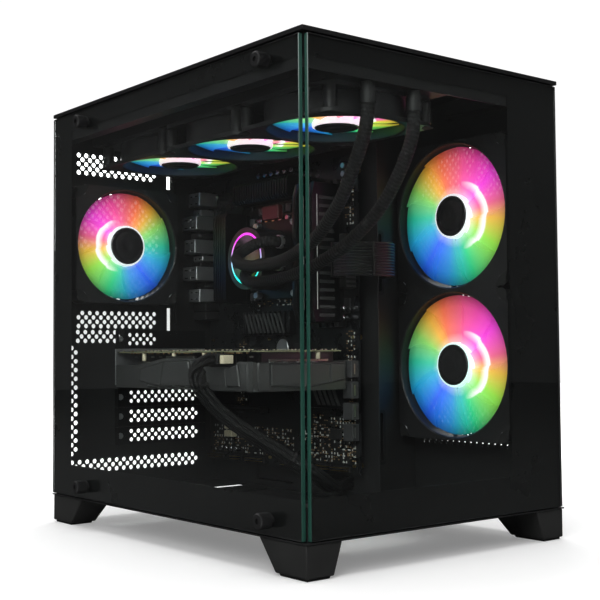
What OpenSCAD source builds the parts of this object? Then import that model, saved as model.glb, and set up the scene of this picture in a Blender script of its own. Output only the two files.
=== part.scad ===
// Desktop computer tower with glass side and front, shown with all that it holds.
// Every module is drawn from the case's own corner: X from the outside of the side glass,
// Y from the outside of the front glass towards the rear, Z up from the floor.

/* [Case] */
// Width of the case, from the side glass to the right panel
case_w = 297; // [296:0.5:299]
// Depth of the case, from the front glass to the rear wall
case_d = 405; // [405:0.5:407]
// Height of the case body, without its feet
body_h = 385; // [385:0.5:387]
// Height of the feet
foot_h = 27; // [20:1:35]
// Thickness of the folded steel sheet
sheet_t = 1.2; // [0.8:0.1:1.4]
// Thickness of the tempered glass
glass_t = 4; // [3:0.5:4]
// Distance from the side glass to the motherboard tray
tray_x = 199; // [198:0.5:200]

/* [Fans] */
// Frame size of the radiator and rear fans
fan_small = 120; // [118:1:120]
// Frame size of the side fans
fan_large = 140; // [136:1:140]
// Depth of a fan frame
fan_deep = 25; // [20:1:25]
// Number of blades on a fan
blade_count = 9; // [7:1:11]

/* [Fasteners] */
// Diameter of a glass thumbscrew's head
screw_head_d = 12.5; // [10:0.5:14]
// How far a glass thumbscrew stands out of the glass
screw_out = 12; // [8:1:14]
// Radius of a thumbscrew's shank
shank_r = 2; // [1.5:0.1:2]
// How far the rear thumbscrews and their tabs stand out of the rear wall
rear_out = 7; // [6:0.5:8]

/* [Graphics card] */
// Length of the graphics card, from the rear bracket to its front end
gpu_len = 242; // [220:2:242]
// Height of the top of the graphics card's circuit board above the floor
gpu_z = 170; // [169:0.5:171]

/* [Hidden] */

$fn = 48;
gap = 0.5;
body_z = foot_h;
top_z = foot_h + body_h;
floor_z = body_z + sheet_t;
roof_z = top_z - 3.5;
rail_in = 17;
rail_low_z = body_z + 27;
rail_top_z = top_z - 31;
glass_low_z = body_z + 2;
glass_top_z = roof_z - 1.6;
corner_gap = glass_t + 0.8;
rear_y = case_d - sheet_t;
right_x = case_w - 2;
screw_ys = [44, 335];
screw_low_z = body_z + 14;
screw_high_z = top_z - 19;

// Motherboard, an upright sheet whose face looks at the side glass
board_x = tray_x - 9;
board_t = 1.6;
board_z = body_z + 25;
board_h = 305;
board_y = case_d - 251;
board_d = 244;
cpu_y = case_d - 139;
cpu_z = board_z + 210;

// Fans
top_fan_z = roof_z - 27 - fan_deep;
top_fan_x = 101;
top_fan_ys = [80.5, 200.5, 320.5];
rear_fan_pos = [75, 280];
side_fan_x = 250;
side_fan_y = 93;
side_fan_zs = [155.2, 295.2];
bracket_x = side_fan_x + fan_deep;

// Expansion slots
slot_pitch = 20.32;
slot_zs = [for (i = [0:5]) gpu_z + 13.3 - i * slot_pitch];
slot_x = 84;
slot_w = 98;

// Graphics card
gpu_x = 73;
gpu_y = rear_y - 1.4 - gpu_len;
gpu_fan_ys = [for (i = [0:1]) gpu_y + 65 + i * 112];
gpu_fan_x = 127;
gpu_low_z = gpu_z - 37;

// Power supply
psu_x = tray_x + 4;
psu_w = 86;
psu_len = 150;
psu_z = floor_z + 7;
psu_y = rear_y - psu_len;
psu_mid = [psu_y + 72, psu_z + 75];

// Control strip in the top frame
strip_x = 267;
strip_y = 14;
strip_w = 18;
strip_l = 102;
power_y = strip_y + 11;
reset_y = strip_y + 27;

// Colours
steel_black = [0.07, 0.07, 0.075];
plastic_black = [0.05, 0.05, 0.055];
plastic_grey = [0.16, 0.16, 0.17];
metal_grey = [0.55, 0.56, 0.58];
board_black = [0.09, 0.1, 0.09];

module in_case() {
    translate([-(case_w - screw_out) / 2, -(case_d + rear_out) / 2, 0]) children();
}

// A box from its low corner to its high corner
module block(low, high) {
    translate(low) cube(high - low);
}

// Cylinders along each axis, from the given start
module rod_x(p, r, l, fn = 48) {
    translate(p) rotate([0, 90, 0]) cylinder(h = l, r = r, $fn = fn);
}

module rod_y(p, r, l, fn = 48) {
    translate(p) rotate([-90, 0, 0]) cylinder(h = l, r = r, $fn = fn);
}

module rod_z(p, r, l, fn = 48) {
    translate(p) cylinder(h = l, r = r, $fn = fn);
}

module rounded(size, r) {
    translate([r, 0]) square([size[0] - 2 * r, size[1]]);
    translate([0, r]) square([size[0], size[1] - 2 * r]);
    for (x = [r, size[0] - r], y = [r, size[1] - r]) translate([x, y]) circle(r);
}

// Sweeps an oval of half widths a and b along points; the side vector keeps a upright
function unit(v) = v / norm(v);
function tangent(p, i) = unit(p[min(i + 1, len(p) - 1)] - p[max(i - 1, 0)]);
function ring(c, t, up, a, b, n) =
    let (s = unit(cross(t, up)), u = cross(t, s))
    [for (k = [0:n - 1]) c + s * a * cos(360 * k / n) + u * b * sin(360 * k / n)];

module swept(p, a, b, up, n = 10) {
    m = len(p);
    pts = [for (i = [0:m - 1]) each ring(p[i], tangent(p, i), up, a, b, n)];
    sides = [for (i = [0:m - 2], k = [0:n - 1])
        each [[i * n + k, (i + 1) * n + (k + 1) % n, i * n + (k + 1) % n],
            [i * n + k, (i + 1) * n + k, (i + 1) * n + (k + 1) % n]]];
    first = [for (k = [0:n - 1]) k];
    last = [for (k = [n - 1:-1:0]) (m - 1) * n + k];
    polyhedron(points = pts, faces = concat([first, last], sides), convexity = 6);
}

// ---- Case ----

module rail(low_z, high_z, screw_z) {
    difference() {
        block([glass_t + 1, glass_t + 1 + sheet_t, low_z], [rail_in, rear_y - gap, high_z]);
        for (y = screw_ys) rod_x([0, y, screw_z], shank_r + 0.2, 18);
    }
}

module chassis_floor() {
    color(steel_black) in_case() {
        difference() {
            block([0, 0, body_z], [case_w, case_d, floor_z]);
            for (y = [68, 188]) block([90, y, body_z - 1], [190, y + 108, floor_z + 1]);
            block([rail_in + 10, 330, body_z - 1], [190, 345, floor_z + 1]);
        }
        rail(floor_z, rail_low_z, screw_low_z);
        block([glass_t + 1, glass_t + 1, floor_z], [right_x, glass_t + 1 + sheet_t, rail_low_z]);
        block([right_x - sheet_t, glass_t + 1 + sheet_t, floor_z], [right_x, rear_y - gap, rail_low_z]);
        for (x = [76, 200]) {
            block([x, 56, body_z - 4.5], [x + 4, 310, body_z]);
            block([x - (x > 100 ? 3 : 0), 56, body_z - 4.5], [x + (x > 100 ? 4 : 7), 310, body_z - 3.5]);
        }
    }
}

module rear_wall() {
    color(steel_black) in_case() difference() {
        block([glass_t + gap, rear_y, floor_z], [right_x, case_d, roof_z]);
        rod_y([rear_fan_pos[0], rear_y - 1, rear_fan_pos[1]], 57, 4, 64);
        for (x = [-1, 1], z = [-1, 1])
            rod_y([rear_fan_pos[0] + x * 52.5, rear_y - 1, rear_fan_pos[1] + z * 52.5], 2.2, 4, 24);
        block([board_x - 46.5, rear_y - 1, board_z + 147], [board_x - 2, case_d + 1, board_z + 305.5]);
        for (z = slot_zs) block([slot_x, rear_y - 1, z - 6.5], [slot_x + slot_w, case_d + 1, z + 6.5]);
        block([psu_x + 4, rear_y - 1, psu_z + 6], [psu_x + psu_w - 4, case_d + 1, psu_z + 144]);
        for (z = [body_z + 178, body_z + 367]) rod_y([287, rear_y - 1, z], 1.9, 4, 24);
    }
}

module top_frame() {
    color(steel_black) in_case() {
        difference() {
            block([0, 0, roof_z], [case_w, case_d, top_z]);
            block([12, 12, roof_z + sheet_t], [strip_x - 4, case_d - 12, top_z + 1]);
            for (y = top_fan_ys)
                block([top_fan_x - 54, y - 56, roof_z - 1], [top_fan_x + 54, y + 56, roof_z + 2]);
            block([strip_x, strip_y, roof_z - 1], [strip_x + strip_w, strip_y + strip_l, top_z + 1]);
            block([strip_x, 140, roof_z - 1], [strip_x + 8, 380, top_z + 1]);
        }
        rail(rail_top_z, roof_z, screw_high_z);
        block([glass_t + 1, glass_t + 1, rail_top_z], [right_x, glass_t + 1 + sheet_t, roof_z]);
        block([right_x - sheet_t, glass_t + 1 + sheet_t, rail_top_z], [right_x, rear_y - gap, roof_z]);
    }
}

module motherboard_tray() {
    color(steel_black) in_case() difference() {
        block([tray_x, board_y - 17, floor_z], [tray_x + sheet_t, rear_y, roof_z]);
        translate([tray_x - 1, 0, 0]) {
            translate([0, cpu_y - 50, cpu_z - 50]) cube([4, 100, 95]);
            translate([0, board_y + 20, floor_z + 6]) cube([4, 60, 14]);
            translate([0, board_y + 110, floor_z + 6]) cube([4, 60, 14]);
            translate([0, board_y + 200, board_z + board_h + 6]) cube([4, 36, 12]);
            rotate([90, 0, 90]) linear_extrude(4) polygon([[292, 372], [305, 372], [292, 361]]);
        }
    }
}

module fan_bracket() {
    color(steel_black) in_case() {
        difference() {
            block([bracket_x, glass_t + 1 + sheet_t, floor_z], [bracket_x + sheet_t, 168.2, roof_z]);
            for (z = side_fan_zs) {
                rod_x([bracket_x - 1, side_fan_y, z], 67, 4, 64);
                for (y = [-1, 1], k = [-1, 1])
                    rod_x([bracket_x - 1, side_fan_y + y * 62.5, z + k * 62.5], 2.2, 4, 24);
            }
            block([bracket_x - 1, 0, top_z - 20], [bracket_x + 2, strip_y + strip_l + 2, top_z]);
        }
        difference() {
            block([tray_x + sheet_t, 167, floor_z], [bracket_x, 167 + sheet_t, roof_z]);
            block([tray_x + 8, 166, 225], [tray_x + 34, 169, 285]);
            block([tray_x + 8, 166, 60], [tray_x + 34, 169, 110]);
        }
    }
}

module front_post() {
    color(steel_black) in_case() {
        block([236, glass_t + 1, rail_low_z], [right_x - sheet_t, glass_t + 1 + sheet_t, rail_top_z]);
        block([right_x - sheet_t, glass_t + 1, rail_low_z], [right_x, glass_t + 19, rail_top_z]);
    }
}

// One foot's plan corner is at the origin; it tapers towards the floor away from that corner
module foot_shape(low_z, high_z, inset) {
    intersection() {
        translate([inset, 0, 0]) rotate([90, 0, 90]) linear_extrude(60)
            polygon([[inset, 0], [38 - inset, 0], [60 - inset, foot_h], [inset, foot_h]]);
        translate([0, 80, 0]) rotate([90, 0, 0]) linear_extrude(80)
            polygon([[inset, 0], [28 - inset, 0], [37 - inset, foot_h], [inset, foot_h]]);
        block([0, 0, low_z], [60, 80, high_z]);
    }
}

module at_corners() {
    for (mx = [0, 1], my = [0, 1])
        translate([mx * case_w, my * case_d, 0]) mirror([mx, 0, 0]) mirror([0, my, 0]) children();
}

module feet() {
    color(plastic_grey) in_case() at_corners() foot_shape(2, foot_h, 1);
}

module foot_pads() {
    color([0.03, 0.03, 0.03]) in_case() at_corners() foot_shape(0, 2, 3);
}

module top_filter() {
    color(plastic_black) in_case() {
        z = roof_z + sheet_t;
        difference() {
            block([12.4, 12.4, z], [strip_x - 4.4, case_d - 12.4, z + 1.9]);
            block([20, 20, z - 1], [strip_x - 12, case_d - 20, z + 3]);
        }
        block([20, 20, z + 0.6], [strip_x - 12, case_d - 20, z + 1.2]);
    }
}

module bottom_filter() {
    color(plastic_black) in_case() {
        difference() {
            block([80.3, 57, body_z - 3.2], [199.7, 309, body_z - 0.3]);
            for (y = [64, 188]) block([88, y, body_z - 4], [192, y + 114, body_z + 1]);
        }
        for (y = [64, 188]) block([88, y, body_z - 2.2], [192, y + 114, body_z - 1.4]);
        block([110, 50, body_z - 3.2], [170, 57, body_z - 0.3]);
    }
}

module side_glass() {
    color([0.1, 0.12, 0.12, 0.35]) in_case() difference() {
        block([0, corner_gap, glass_low_z], [glass_t, case_d - 0.4, glass_top_z]);
        for (y = screw_ys, z = [screw_low_z, screw_high_z]) rod_x([-1, y, z], 3.2, 6, 32);
    }
}

module glass_thumbscrews() {
    color(plastic_black) in_case()
        for (y = screw_ys, z = [screw_low_z, screw_high_z]) difference() {
            rod_x([-screw_out, y, z], screw_head_d / 2, screw_out);
            rod_x([-screw_out - 1, y, z], 2.2, 2.5, 24);
        }
}

module glass_screw_shanks() {
    color(metal_grey) in_case()
        for (y = screw_ys, z = [screw_low_z, screw_high_z]) rod_x([0, y, z], shank_r, 14, 24);
}

module front_glass() {
    color([0.1, 0.12, 0.12, 0.35]) in_case()
        block([corner_gap, 0, glass_low_z], [right_x, glass_t, glass_top_z]);
}

module right_panel() {
    color(steel_black) in_case() {
        difference() {
            block([right_x + 0.5, glass_t + 0.8, glass_low_z], [case_w, case_d + 0.3, glass_top_z]);
            for (i = [0:11], z = [95, 165, 235, 305]) {
                block([right_x - 1, 34 + i * 10, z], [case_w + 1, 38 + i * 10, z + 55]);
            }
            for (i = [0:10], z = [50, 115]) {
                block([right_x - 1, psu_mid[0] - 55 + i * 10, z],
                    [case_w + 1, psu_mid[0] - 51 + i * 10, z + 50]);
            }
        }
        for (z = [body_z + 178, body_z + 367]) difference() {
            block([279, case_d + 0.3, z - 7], [case_w, case_d + 1.3, z + 7]);
            rod_y([287, case_d - 1, z], 2.4, 4, 24);
        }
    }
}

module panel_thumbscrews() {
    color(plastic_black) in_case() for (z = [body_z + 178, body_z + 367]) {
        rod_y([287, case_d + 1.3, z], 5, rear_out - 1.3, 32);
    }
}

module panel_screw_shanks() {
    color(metal_grey) in_case() for (z = [body_z + 178, body_z + 367]) {
        rod_y([287, case_d - 5, z], 1.75, 6.3, 24);
    }
}

module port_strip() {
    color(plastic_black) in_case() difference() {
        block([strip_x + 0.2, strip_y + 0.2, top_z - 18], [strip_x + strip_w - 0.2,
            strip_y + strip_l - 0.2, top_z]);
        rod_z([strip_x + 9, power_y, top_z - 13], 6.3, 20);
        rod_z([strip_x + 9, reset_y, top_z - 13], 3.3, 20, 32);
        for (y = [46, 62]) rod_z([strip_x + 9, strip_y + y - 3, top_z - 12], 1.9, 20, 24);
        for (y = [68, 85]) block([strip_x + 6, strip_y + y, top_z - 10], [strip_x + 12,
            strip_y + y + 13, top_z + 1]);
    }
}

module power_button() {
    color(plastic_grey) in_case() difference() {
        rod_z([strip_x + 9, power_y, top_z - 10.5], 6, 10.5);
        rod_z([strip_x + 9, power_y, top_z - 0.4], 4, 1);
    }
}

module reset_button() {
    color(plastic_grey) in_case() rod_z([strip_x + 9, reset_y, top_z - 10.5], 3, 10.5, 32);
}

// ---- Motherboard and what it carries ----

module motherboard() {
    color(board_black) in_case() difference() {
        block([board_x, board_y, board_z], [board_x + board_t, board_y + board_d, board_z + board_h]);
        for (y = [8, 135, 237], z = [8, 130, 290]) rod_x([board_x - 1, board_y + y, board_z + z], 2, 4, 24);
    }
}

module standoffs() {
    color("goldenrod") in_case()
        for (y = [8, 135, 237], z = [8, 130, 290]) {
            if (y != 135 || z != 290) {
                translate([board_x + board_t, board_y + y, board_z + z]) rotate([0, 90, 0])
                    cylinder(h = tray_x - board_x - board_t, r = 2.8, $fn = 6);
                rod_x([board_x - 1.5, board_y + y, board_z + z], 1.6, 1.6 + board_t, 24);
            }
        }
}

module rear_ports() {
    color(metal_grey) in_case() {
        x = board_x - 44;
        z = board_z + 148.5;
        block([x, rear_y - 0.1, z], [x + 41.5, case_d + 0.3, z + 156]);
        for (p = [[4, 22, 30], [32, 18, 34], [56, 16, 34], [78, 18, 34], [102, 14, 36], [121, 26, 22]])
            block([board_x - p[1] - 12, rear_y - 22 - p[2] / 6, z + p[0]], [board_x, rear_y - 0.1,
                z + p[0] + 17]);
    }
}

module finned(low, high, count, along_z) {
    span = along_z ? high[2] - low[2] : high[1] - low[1];
    step = span / count;
    base = [low[0] + 0.55 * (high[0] - low[0]), low[1], low[2]];
    block(base, high);
    for (i = [0:count - 1]) {
        if (along_z) block([low[0], low[1], low[2] + i * step], [base[0], high[1],
            low[2] + (i + 0.5) * step]);
        else block([low[0], low[1] + i * step, low[2]], [base[0], low[1] + (i + 0.5) * step, high[2]]);
    }
}

module vrm_heatsinks() {
    color(plastic_grey) in_case() {
        finned([board_x - 34, board_y + 166, board_z + 168], [board_x, board_y + 190, board_z + 262], 7,
            true);
        finned([board_x - 26, board_y + 72, board_z + 270], [board_x, board_y + 164, board_z + 292], 8,
            false);
    }
}

module board_heatsinks() {
    color(plastic_grey) in_case() {
        translate([board_x, board_y + 14, board_z + 62]) rotate([0, -90, 0])
            linear_extrude(9) polygon([[0, 0], [38, 0], [46, 8], [46, 50], [36, 60], [0, 60]]);
        finned([board_x - 10, board_y + 90, board_z + 134], [board_x, board_y + 172, board_z + 158], 10,
            false);
    }
}

module processor() {
    color(metal_grey) in_case() {
        block([board_x - 4, cpu_y - 22, cpu_z - 22], [board_x, cpu_y + 22, cpu_z + 22]);
        block([board_x - 7.5, cpu_y - 15, cpu_z - 15], [board_x - 4, cpu_y + 15, cpu_z + 15]);
    }
}

memory_ys = [for (i = [0:3]) board_y + 24 + i * 9.5];
memory_z = board_z + 140;

module board_slots() {
    color(plastic_black) in_case() {
        for (y = memory_ys) difference() {
            block([board_x - 8, y - 3, memory_z], [board_x, y + 3, memory_z + 142]);
            block([board_x - 9, y - 1, memory_z + 4], [board_x - 4, y + 1, memory_z + 138]);
        }
        for (i = [1, 4]) difference() {
            z = gpu_z - 0.8 - (i - 1) * slot_pitch;
            block([board_x - 11, board_y + 138, z - 3.7], [board_x, board_y + 227, z + 3.7]);
            block([board_x - 12, board_y + 140, z - 0.9], [board_x - 3, board_y + 225, z + 0.9]);
        }
    }
}

module memory_stick(y) {
    color(plastic_grey) in_case() {
        block([board_x - 16, y - 0.7, memory_z + 4.5], [board_x - 4.5, y + 0.7, memory_z + 137.5]);
        block([board_x - 36, y - 3.4, memory_z + 4.5], [board_x - 12, y + 3.4, memory_z + 137.5]);
        translate([0, y + 3.4, 0]) rotate([90, 0, 0]) linear_extrude(6.8)
            polygon([for (p = [[36, 4.5], [40, 14], [40, 60], [38, 66], [38, 76], [40, 82], [40, 128],
                [36, 137.5]]) [board_x - p[0], memory_z + p[1]]]);
    }
}

module memory_sticks() {
    memory_stick(memory_ys[0]);
    memory_stick(memory_ys[2]);
}

// ---- Cooling ----

pump_r = 31;
pump_x = board_x - 47;

module pump_bracket() {
    color(metal_grey) in_case() difference() {
        block([board_x - 12, cpu_y - 44, cpu_z - 40], [board_x - 9, cpu_y + 26, cpu_z + 40]);
        rod_x([board_x - 13, cpu_y, cpu_z], 24, 6);
    }
}

module pump() {
    color(plastic_black) in_case() {
        rod_x([board_x - 14, cpu_y, cpu_z], 23.8, 6.4);
        difference() {
            rod_x([pump_x, cpu_y, cpu_z], pump_r, board_x - 12.2 - pump_x, 64);
            difference() {
                rod_x([pump_x - 1, cpu_y, cpu_z], 26, 2.5);
                rod_x([pump_x - 2, cpu_y, cpu_z], 23.5, 5);
            }
        }
        for (z = [254, 276]) {
            rod_y([158, 218, z], 5.6, 22, 32);
            rod_x([152.7, 224, z], 5.2, 5.3, 32);
        }
    }
}

// Coolant tubes, from the pump's fittings down, forward and up to the radiator's front tank
tube_r = 5.5;
tube_1_route = [[152.3, 224, 276], [148, 224, 276], [142, 228, 276], [135, 237, 274], [128, 244, 269],
    [119, 246, 262], [111, 236, 256], [105, 214, 250], [101, 188, 248], [98, 158, 249], [95, 128, 254],
    [91, 100, 264], [87, 76, 278], [83, 54, 295], [80, 36, 317], [77, 20, 340], [76, 15, 353],
    [76, 14, 363], [76, 14, 375.4]];
tube_2_route = [[152.3, 224, 254], [148, 224, 254], [142, 226, 254.5], [136, 232, 254], [131, 239, 251],
    [127, 243, 246], [123, 240, 240], [120, 228, 236], [119, 206, 235], [118, 180, 236], [118, 150, 240],
    [118, 120, 249], [119, 92, 260], [120, 66, 275], [122, 46, 292], [124, 29, 315], [126, 17.5, 338],
    [127, 14.5, 352], [127, 14, 363], [127, 14, 375.4]];

module coolant_tube(route) {
    color(plastic_black) in_case() swept(route, tube_r, tube_r, [0, 0.2, 1], 12);
}

module tube_1() {
    coolant_tube(tube_1_route);
}

module tube_2() {
    coolant_tube(tube_2_route);
}

module radiator() {
    color(plastic_black) in_case() {
        x0 = top_fan_x - 60;
        z0 = roof_z - 27;
        front_y = 6.7;
        tank_y = 20.5;
        rear_tank_y = tank_y + 3 * fan_small;
        block([x0, front_y, z0], [x0 + 120, tank_y, roof_z - 0.1]);
        block([x0, rear_tank_y, z0], [x0 + 120, rear_tank_y + 14, roof_z - 0.1]);
        for (x = [x0, x0 + 117]) block([x, tank_y, z0], [x + 3, rear_tank_y, roof_z - 0.1]);
        block([x0 + 3, tank_y, z0 + 4], [x0 + 117, rear_tank_y, roof_z - 4]);
        for (x = [76, 127]) rod_z([x, 14, 375.6], 6, z0 - 375.6, 32);
    }
}

// A square fan frame that lies on the floor of its own space, blowing up, with its bore and spokes
module fan_frame(size) {
    r = size / 2 - 2.5;
    difference() {
        linear_extrude(fan_deep) translate([-size / 2, -size / 2]) rounded([size, size], 5);
        translate([0, 0, -1]) cylinder(h = fan_deep + 2, r = r, $fn = 96);
        for (x = [-1, 1], y = [-1, 1]) translate([x, y, 0] * (size == fan_small ? 52.5 : 62.5) + [0, 0, -1])
            cylinder(h = fan_deep + 2, r = 2.2, $fn = 24);
        for (a = [0:90:270]) rotate(a) translate([-size / 2 + 16, size / 2 - 1.2, 5])
            cube([size - 32, 2, fan_deep - 10]);
    }
    translate([0, 0, fan_deep - 3.5]) {
        cylinder(h = 3.5, r = 20);
        for (a = [15:90:285]) rotate(a) translate([18, -2, 0]) cube([r - 17.5, 4, 3.5]);
    }
}

module fan_rotor(size) {
    r = size / 2 - 4.5;
    translate([0, 0, 1.5]) cylinder(h = fan_deep - 6, r = 20);
    intersection() {
        for (i = [0:blade_count - 1]) rotate(i * 360 / blade_count) translate([18, 0, fan_deep / 2 - 1.5])
            rotate([38, 0, 0]) translate([0, -12, -0.9]) cube([r, 24, 1.8]);
        translate([0, 0, 2]) cylinder(h = fan_deep - 7, r = r, $fn = 96);
    }
}

module at_top_fan(i) {
    in_case() translate([top_fan_x, top_fan_ys[i], top_fan_z]) children();
}

module at_rear_fan() {
    in_case() translate([rear_fan_pos[0], rear_y - fan_deep, rear_fan_pos[1]]) rotate([-90, 0,
        0]) children();
}

module at_side_fan(i) {
    in_case() translate([side_fan_x, side_fan_y, side_fan_zs[i]]) rotate([0, 90, 0]) children();
}

module top_fan_1() {
    color(plastic_black) at_top_fan(0) fan_frame(fan_small);
}

module top_fan_2() {
    color(plastic_black) at_top_fan(1) fan_frame(fan_small);
}

module top_fan_3() {
    color(plastic_black) at_top_fan(2) fan_frame(fan_small);
}

module rear_fan() {
    color(plastic_black) at_rear_fan() fan_frame(fan_small);
}

module side_fan_1() {
    color(plastic_black) at_side_fan(0) fan_frame(fan_large);
}

module side_fan_2() {
    color(plastic_black) at_side_fan(1) fan_frame(fan_large);
}

module top_rotor_1() {
    color("violet") at_top_fan(0) fan_rotor(fan_small);
}

module top_rotor_2() {
    color("gold") at_top_fan(1) fan_rotor(fan_small);
}

module top_rotor_3() {
    color("springgreen") at_top_fan(2) fan_rotor(fan_small);
}

module rear_rotor() {
    color("orchid") at_rear_fan() fan_rotor(fan_small);
}

module side_rotor_1() {
    color("deepskyblue") at_side_fan(0) fan_rotor(fan_large);
}

module side_rotor_2() {
    color("hotpink") at_side_fan(1) fan_rotor(fan_large);
}

// ---- Graphics card ----

gpu_right_x = board_x - 11.2;

module gpu_board() {
    color([0.1, 0.16, 0.1]) in_case() {
        block([gpu_x + 2, gpu_y + 6, gpu_z - 1.6], [gpu_right_x, gpu_y + gpu_len, gpu_z]);
        block([gpu_right_x, board_y + 141, gpu_z - 1.6], [board_x - 3.5, board_y + 224, gpu_z]);
        block([gpu_x + 5, gpu_y + 32, gpu_z - 13], [gpu_x + 17, gpu_y + 68, gpu_z - 1.6]);
    }
}

module gpu_heatsink() {
    color(metal_grey) in_case() {
        x0 = gpu_x + 20;
        block([x0, gpu_y + 14, gpu_z - 6], [gpu_right_x - 4, gpu_y + gpu_len - 12, gpu_z - 1.7]);
        fins = 32;
        step = (gpu_len - 26) / fins;
        for (i = [0:fins - 1])
            block([x0, gpu_y + 14 + i * step, gpu_low_z + 14], [gpu_right_x - 4,
                gpu_y + 15.2 + i * step, gpu_z - 6]);
    }
}

module gpu_shroud() {
    color(plastic_grey) in_case() {
        difference() {
            block([gpu_x, gpu_y, gpu_low_z], [gpu_right_x - 0.5, gpu_y + gpu_len - 1, gpu_low_z + 2.5]);
            for (y = gpu_fan_ys) rod_z([gpu_fan_x, y, gpu_low_z - 1], 49, 5, 64);
        }
        for (x = [gpu_x, gpu_right_x - 3]) translate([x, 0, 0]) rotate([90, 0, 90]) linear_extrude(2.5)
            polygon([for (p = [[0, 2.5], [0, 27], [22, 27], [30, 22], [70, 22], [80, 30], [148, 30],
                [196, 23], [gpu_len - 1, 23], [gpu_len - 1, 2.5]])
                [gpu_y + p[0], gpu_low_z + p[1]]]);
        block([gpu_x + 2.5, gpu_y, gpu_low_z + 2.5], [gpu_right_x - 3, gpu_y + 2.5, gpu_low_z + 26]);
    }
}

module gpu_bracket() {
    color(metal_grey) in_case() {
        block([gpu_x, rear_y - 1.3, gpu_low_z + 2], [board_x - 4, rear_y - 0.1, gpu_z + 3]);
    }
}

module gpu_fan(i) {
    color(plastic_grey) in_case() translate([gpu_fan_x, gpu_fan_ys[i], gpu_low_z + 0.6]) {
        cylinder(h = 11, r = 17);
        intersection() {
            for (k = [0:8]) rotate(k * 40) translate([15, 0, 5]) rotate([34, 0, 0])
                translate([0, -9, -0.6]) cube([33, 18, 1.2]);
            translate([0, 0, 0.8]) cylinder(h = 9.5, r = 47, $fn = 96);
        }
    }
}

module gpu_fan_1() {
    gpu_fan(0);
}

module gpu_fan_2() {
    gpu_fan(1);
}

module slot_covers() {
    color(steel_black) in_case() for (i = [0, 3, 4, 5]) {
        block([gpu_x, rear_y - 1.3, slot_zs[i] - 9.2], [board_x - 4, rear_y - 0.1, slot_zs[i] + 9.2]);
    }
}

// ---- Power supply and drive ----

module psu_case() {
    color(plastic_black) in_case() difference() {
        block([psu_x, psu_y, psu_z], [psu_x + psu_w, rear_y - 0.1, psu_z + 150]);
        difference() {
            block([psu_x + 1.5, psu_y + 1.5, psu_z + 1.5], [psu_x + psu_w - 1.5, rear_y - 1.6,
                psu_z + 148.5]);
            block([psu_x + 1, rear_y - 16, psu_z + 101], [psu_x + 60, rear_y, psu_z + 132]);
        }
        rod_x([psu_x + psu_w - 4, psu_mid[0], psu_mid[1]], 61, 6, 96);
        block([psu_x + 3, psu_y + 142, psu_z + 105], [psu_x + 3 + 28, rear_y + 1, psu_z + 126]);
        block([psu_x + 40, psu_y + 138, psu_z + 108], [psu_x + 53, rear_y + 1, psu_z + 128]);
        for (z = [20, 60, 100]) block([psu_x + 12, psu_y - 1, psu_z + z], [psu_x + 58, psu_y + 6,
            psu_z + z + 14]);
    }
}

module psu_fan() {
    color(plastic_black) in_case() translate([psu_x + psu_w - 24, psu_mid[0], psu_mid[1]]) rotate([0,
        90, 0]) {
        cylinder(h = 22, r = 20);
        intersection() {
            for (k = [0:6]) rotate(k * 360 / 7) translate([18, 0, 11]) rotate([35, 0, 0])
                translate([0, -14, -1]) cube([44, 28, 2]);
            translate([0, 0, 2]) cylinder(h = 18, r = 58, $fn = 96);
        }
    }
}

switch_x = psu_x + 46.5;
switch_z = psu_z + 118;

module psu_switch() {
    color([0.02, 0.02, 0.02]) in_case() translate([switch_x, rear_y - 4, switch_z - 9]) linear_extrude(18)
        polygon([[-5.6, 2.4], [0, 3.1], [5.6, 4.6], [4.2, -2], [1.5, -4.5], [-1.5, -4.5], [-4.8, -2]]);
    color([0.02, 0.02, 0.02]) in_case() rod_z([switch_x, rear_y - 4, switch_z - 9.8], 1.2, 19.6, 24);
}

caddy_x = tray_x + sheet_t + 0.1;
caddy_y = 171;
caddy_z = 80;

module drive_caddy() {
    color(plastic_grey) in_case() {
        block([caddy_x, caddy_y, caddy_z], [caddy_x + 1.5, caddy_y + 78, caddy_z + 106]);
        for (y = [caddy_y, caddy_y + 76]) block([caddy_x + 1.5, y, caddy_z], [caddy_x + 9, y + 2,
            caddy_z + 106]);
    }
}

module drive() {
    color(metal_grey) in_case() block([caddy_x + 1.6, caddy_y + 4, caddy_z + 3], [caddy_x + 8.6,
        caddy_y + 74, caddy_z + 103]);
}

// ---- Cables, each a flat bundle of sleeved wires held at both ends ----

board_cable_route = [[176, 161.5, 254], [169, 161.5, 254], [162, 157, 254], [160, 149, 254], [163, 140,
    254],
    [173, 131, 254], [186, 126, 254], [200, 125, 254], [212, 131, 254], [219, 144, 254], [220, 158, 254],
    [220, 176, 254], [221, 192, 250], [224, 206, 236], [228, 216, 214], [232, 224, 192], [236, 231, 174],
    [238, 240, 163], [238, 248, 161], [238, 253.5, 161]];
gpu_cable_route = [[63.9, 213, 161.5], [56, 212, 161], [50, 211, 157], [47, 210, 149], [48, 208, 139],
    [53, 203, 128], [61, 196, 116], [72, 186, 104], [87, 174, 91], [104, 162, 78], [121, 154, 65],
    [138, 153, 54], [156, 160, 45], [174, 172, 41], [188, 182, 41], [200, 188, 41], [212, 192, 42],
    [222, 201, 48], [228, 216, 58], [230, 234, 67], [230, 245, 70], [230, 253.5, 70]];

module board_power_cable() {
    color([0.02, 0.02, 0.02]) in_case() {
        swept(board_cable_route, 4.5, 16, [0.01, 0.02, 1], 12);
        block([board_x - 14, board_y + 3, 228], [board_x - 0.1, board_y + 12, 280]);
    }
}

module gpu_power_cable() {
    color([0.02, 0.02, 0.02]) in_case() {
        swept(gpu_cable_route, 8, 5, [0.3, 0.35, 1], 12);
        block([gpu_x - 9, 203, gpu_z - 13], [gpu_x + 4.9, 223, gpu_z - 3]);
    }
}

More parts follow.
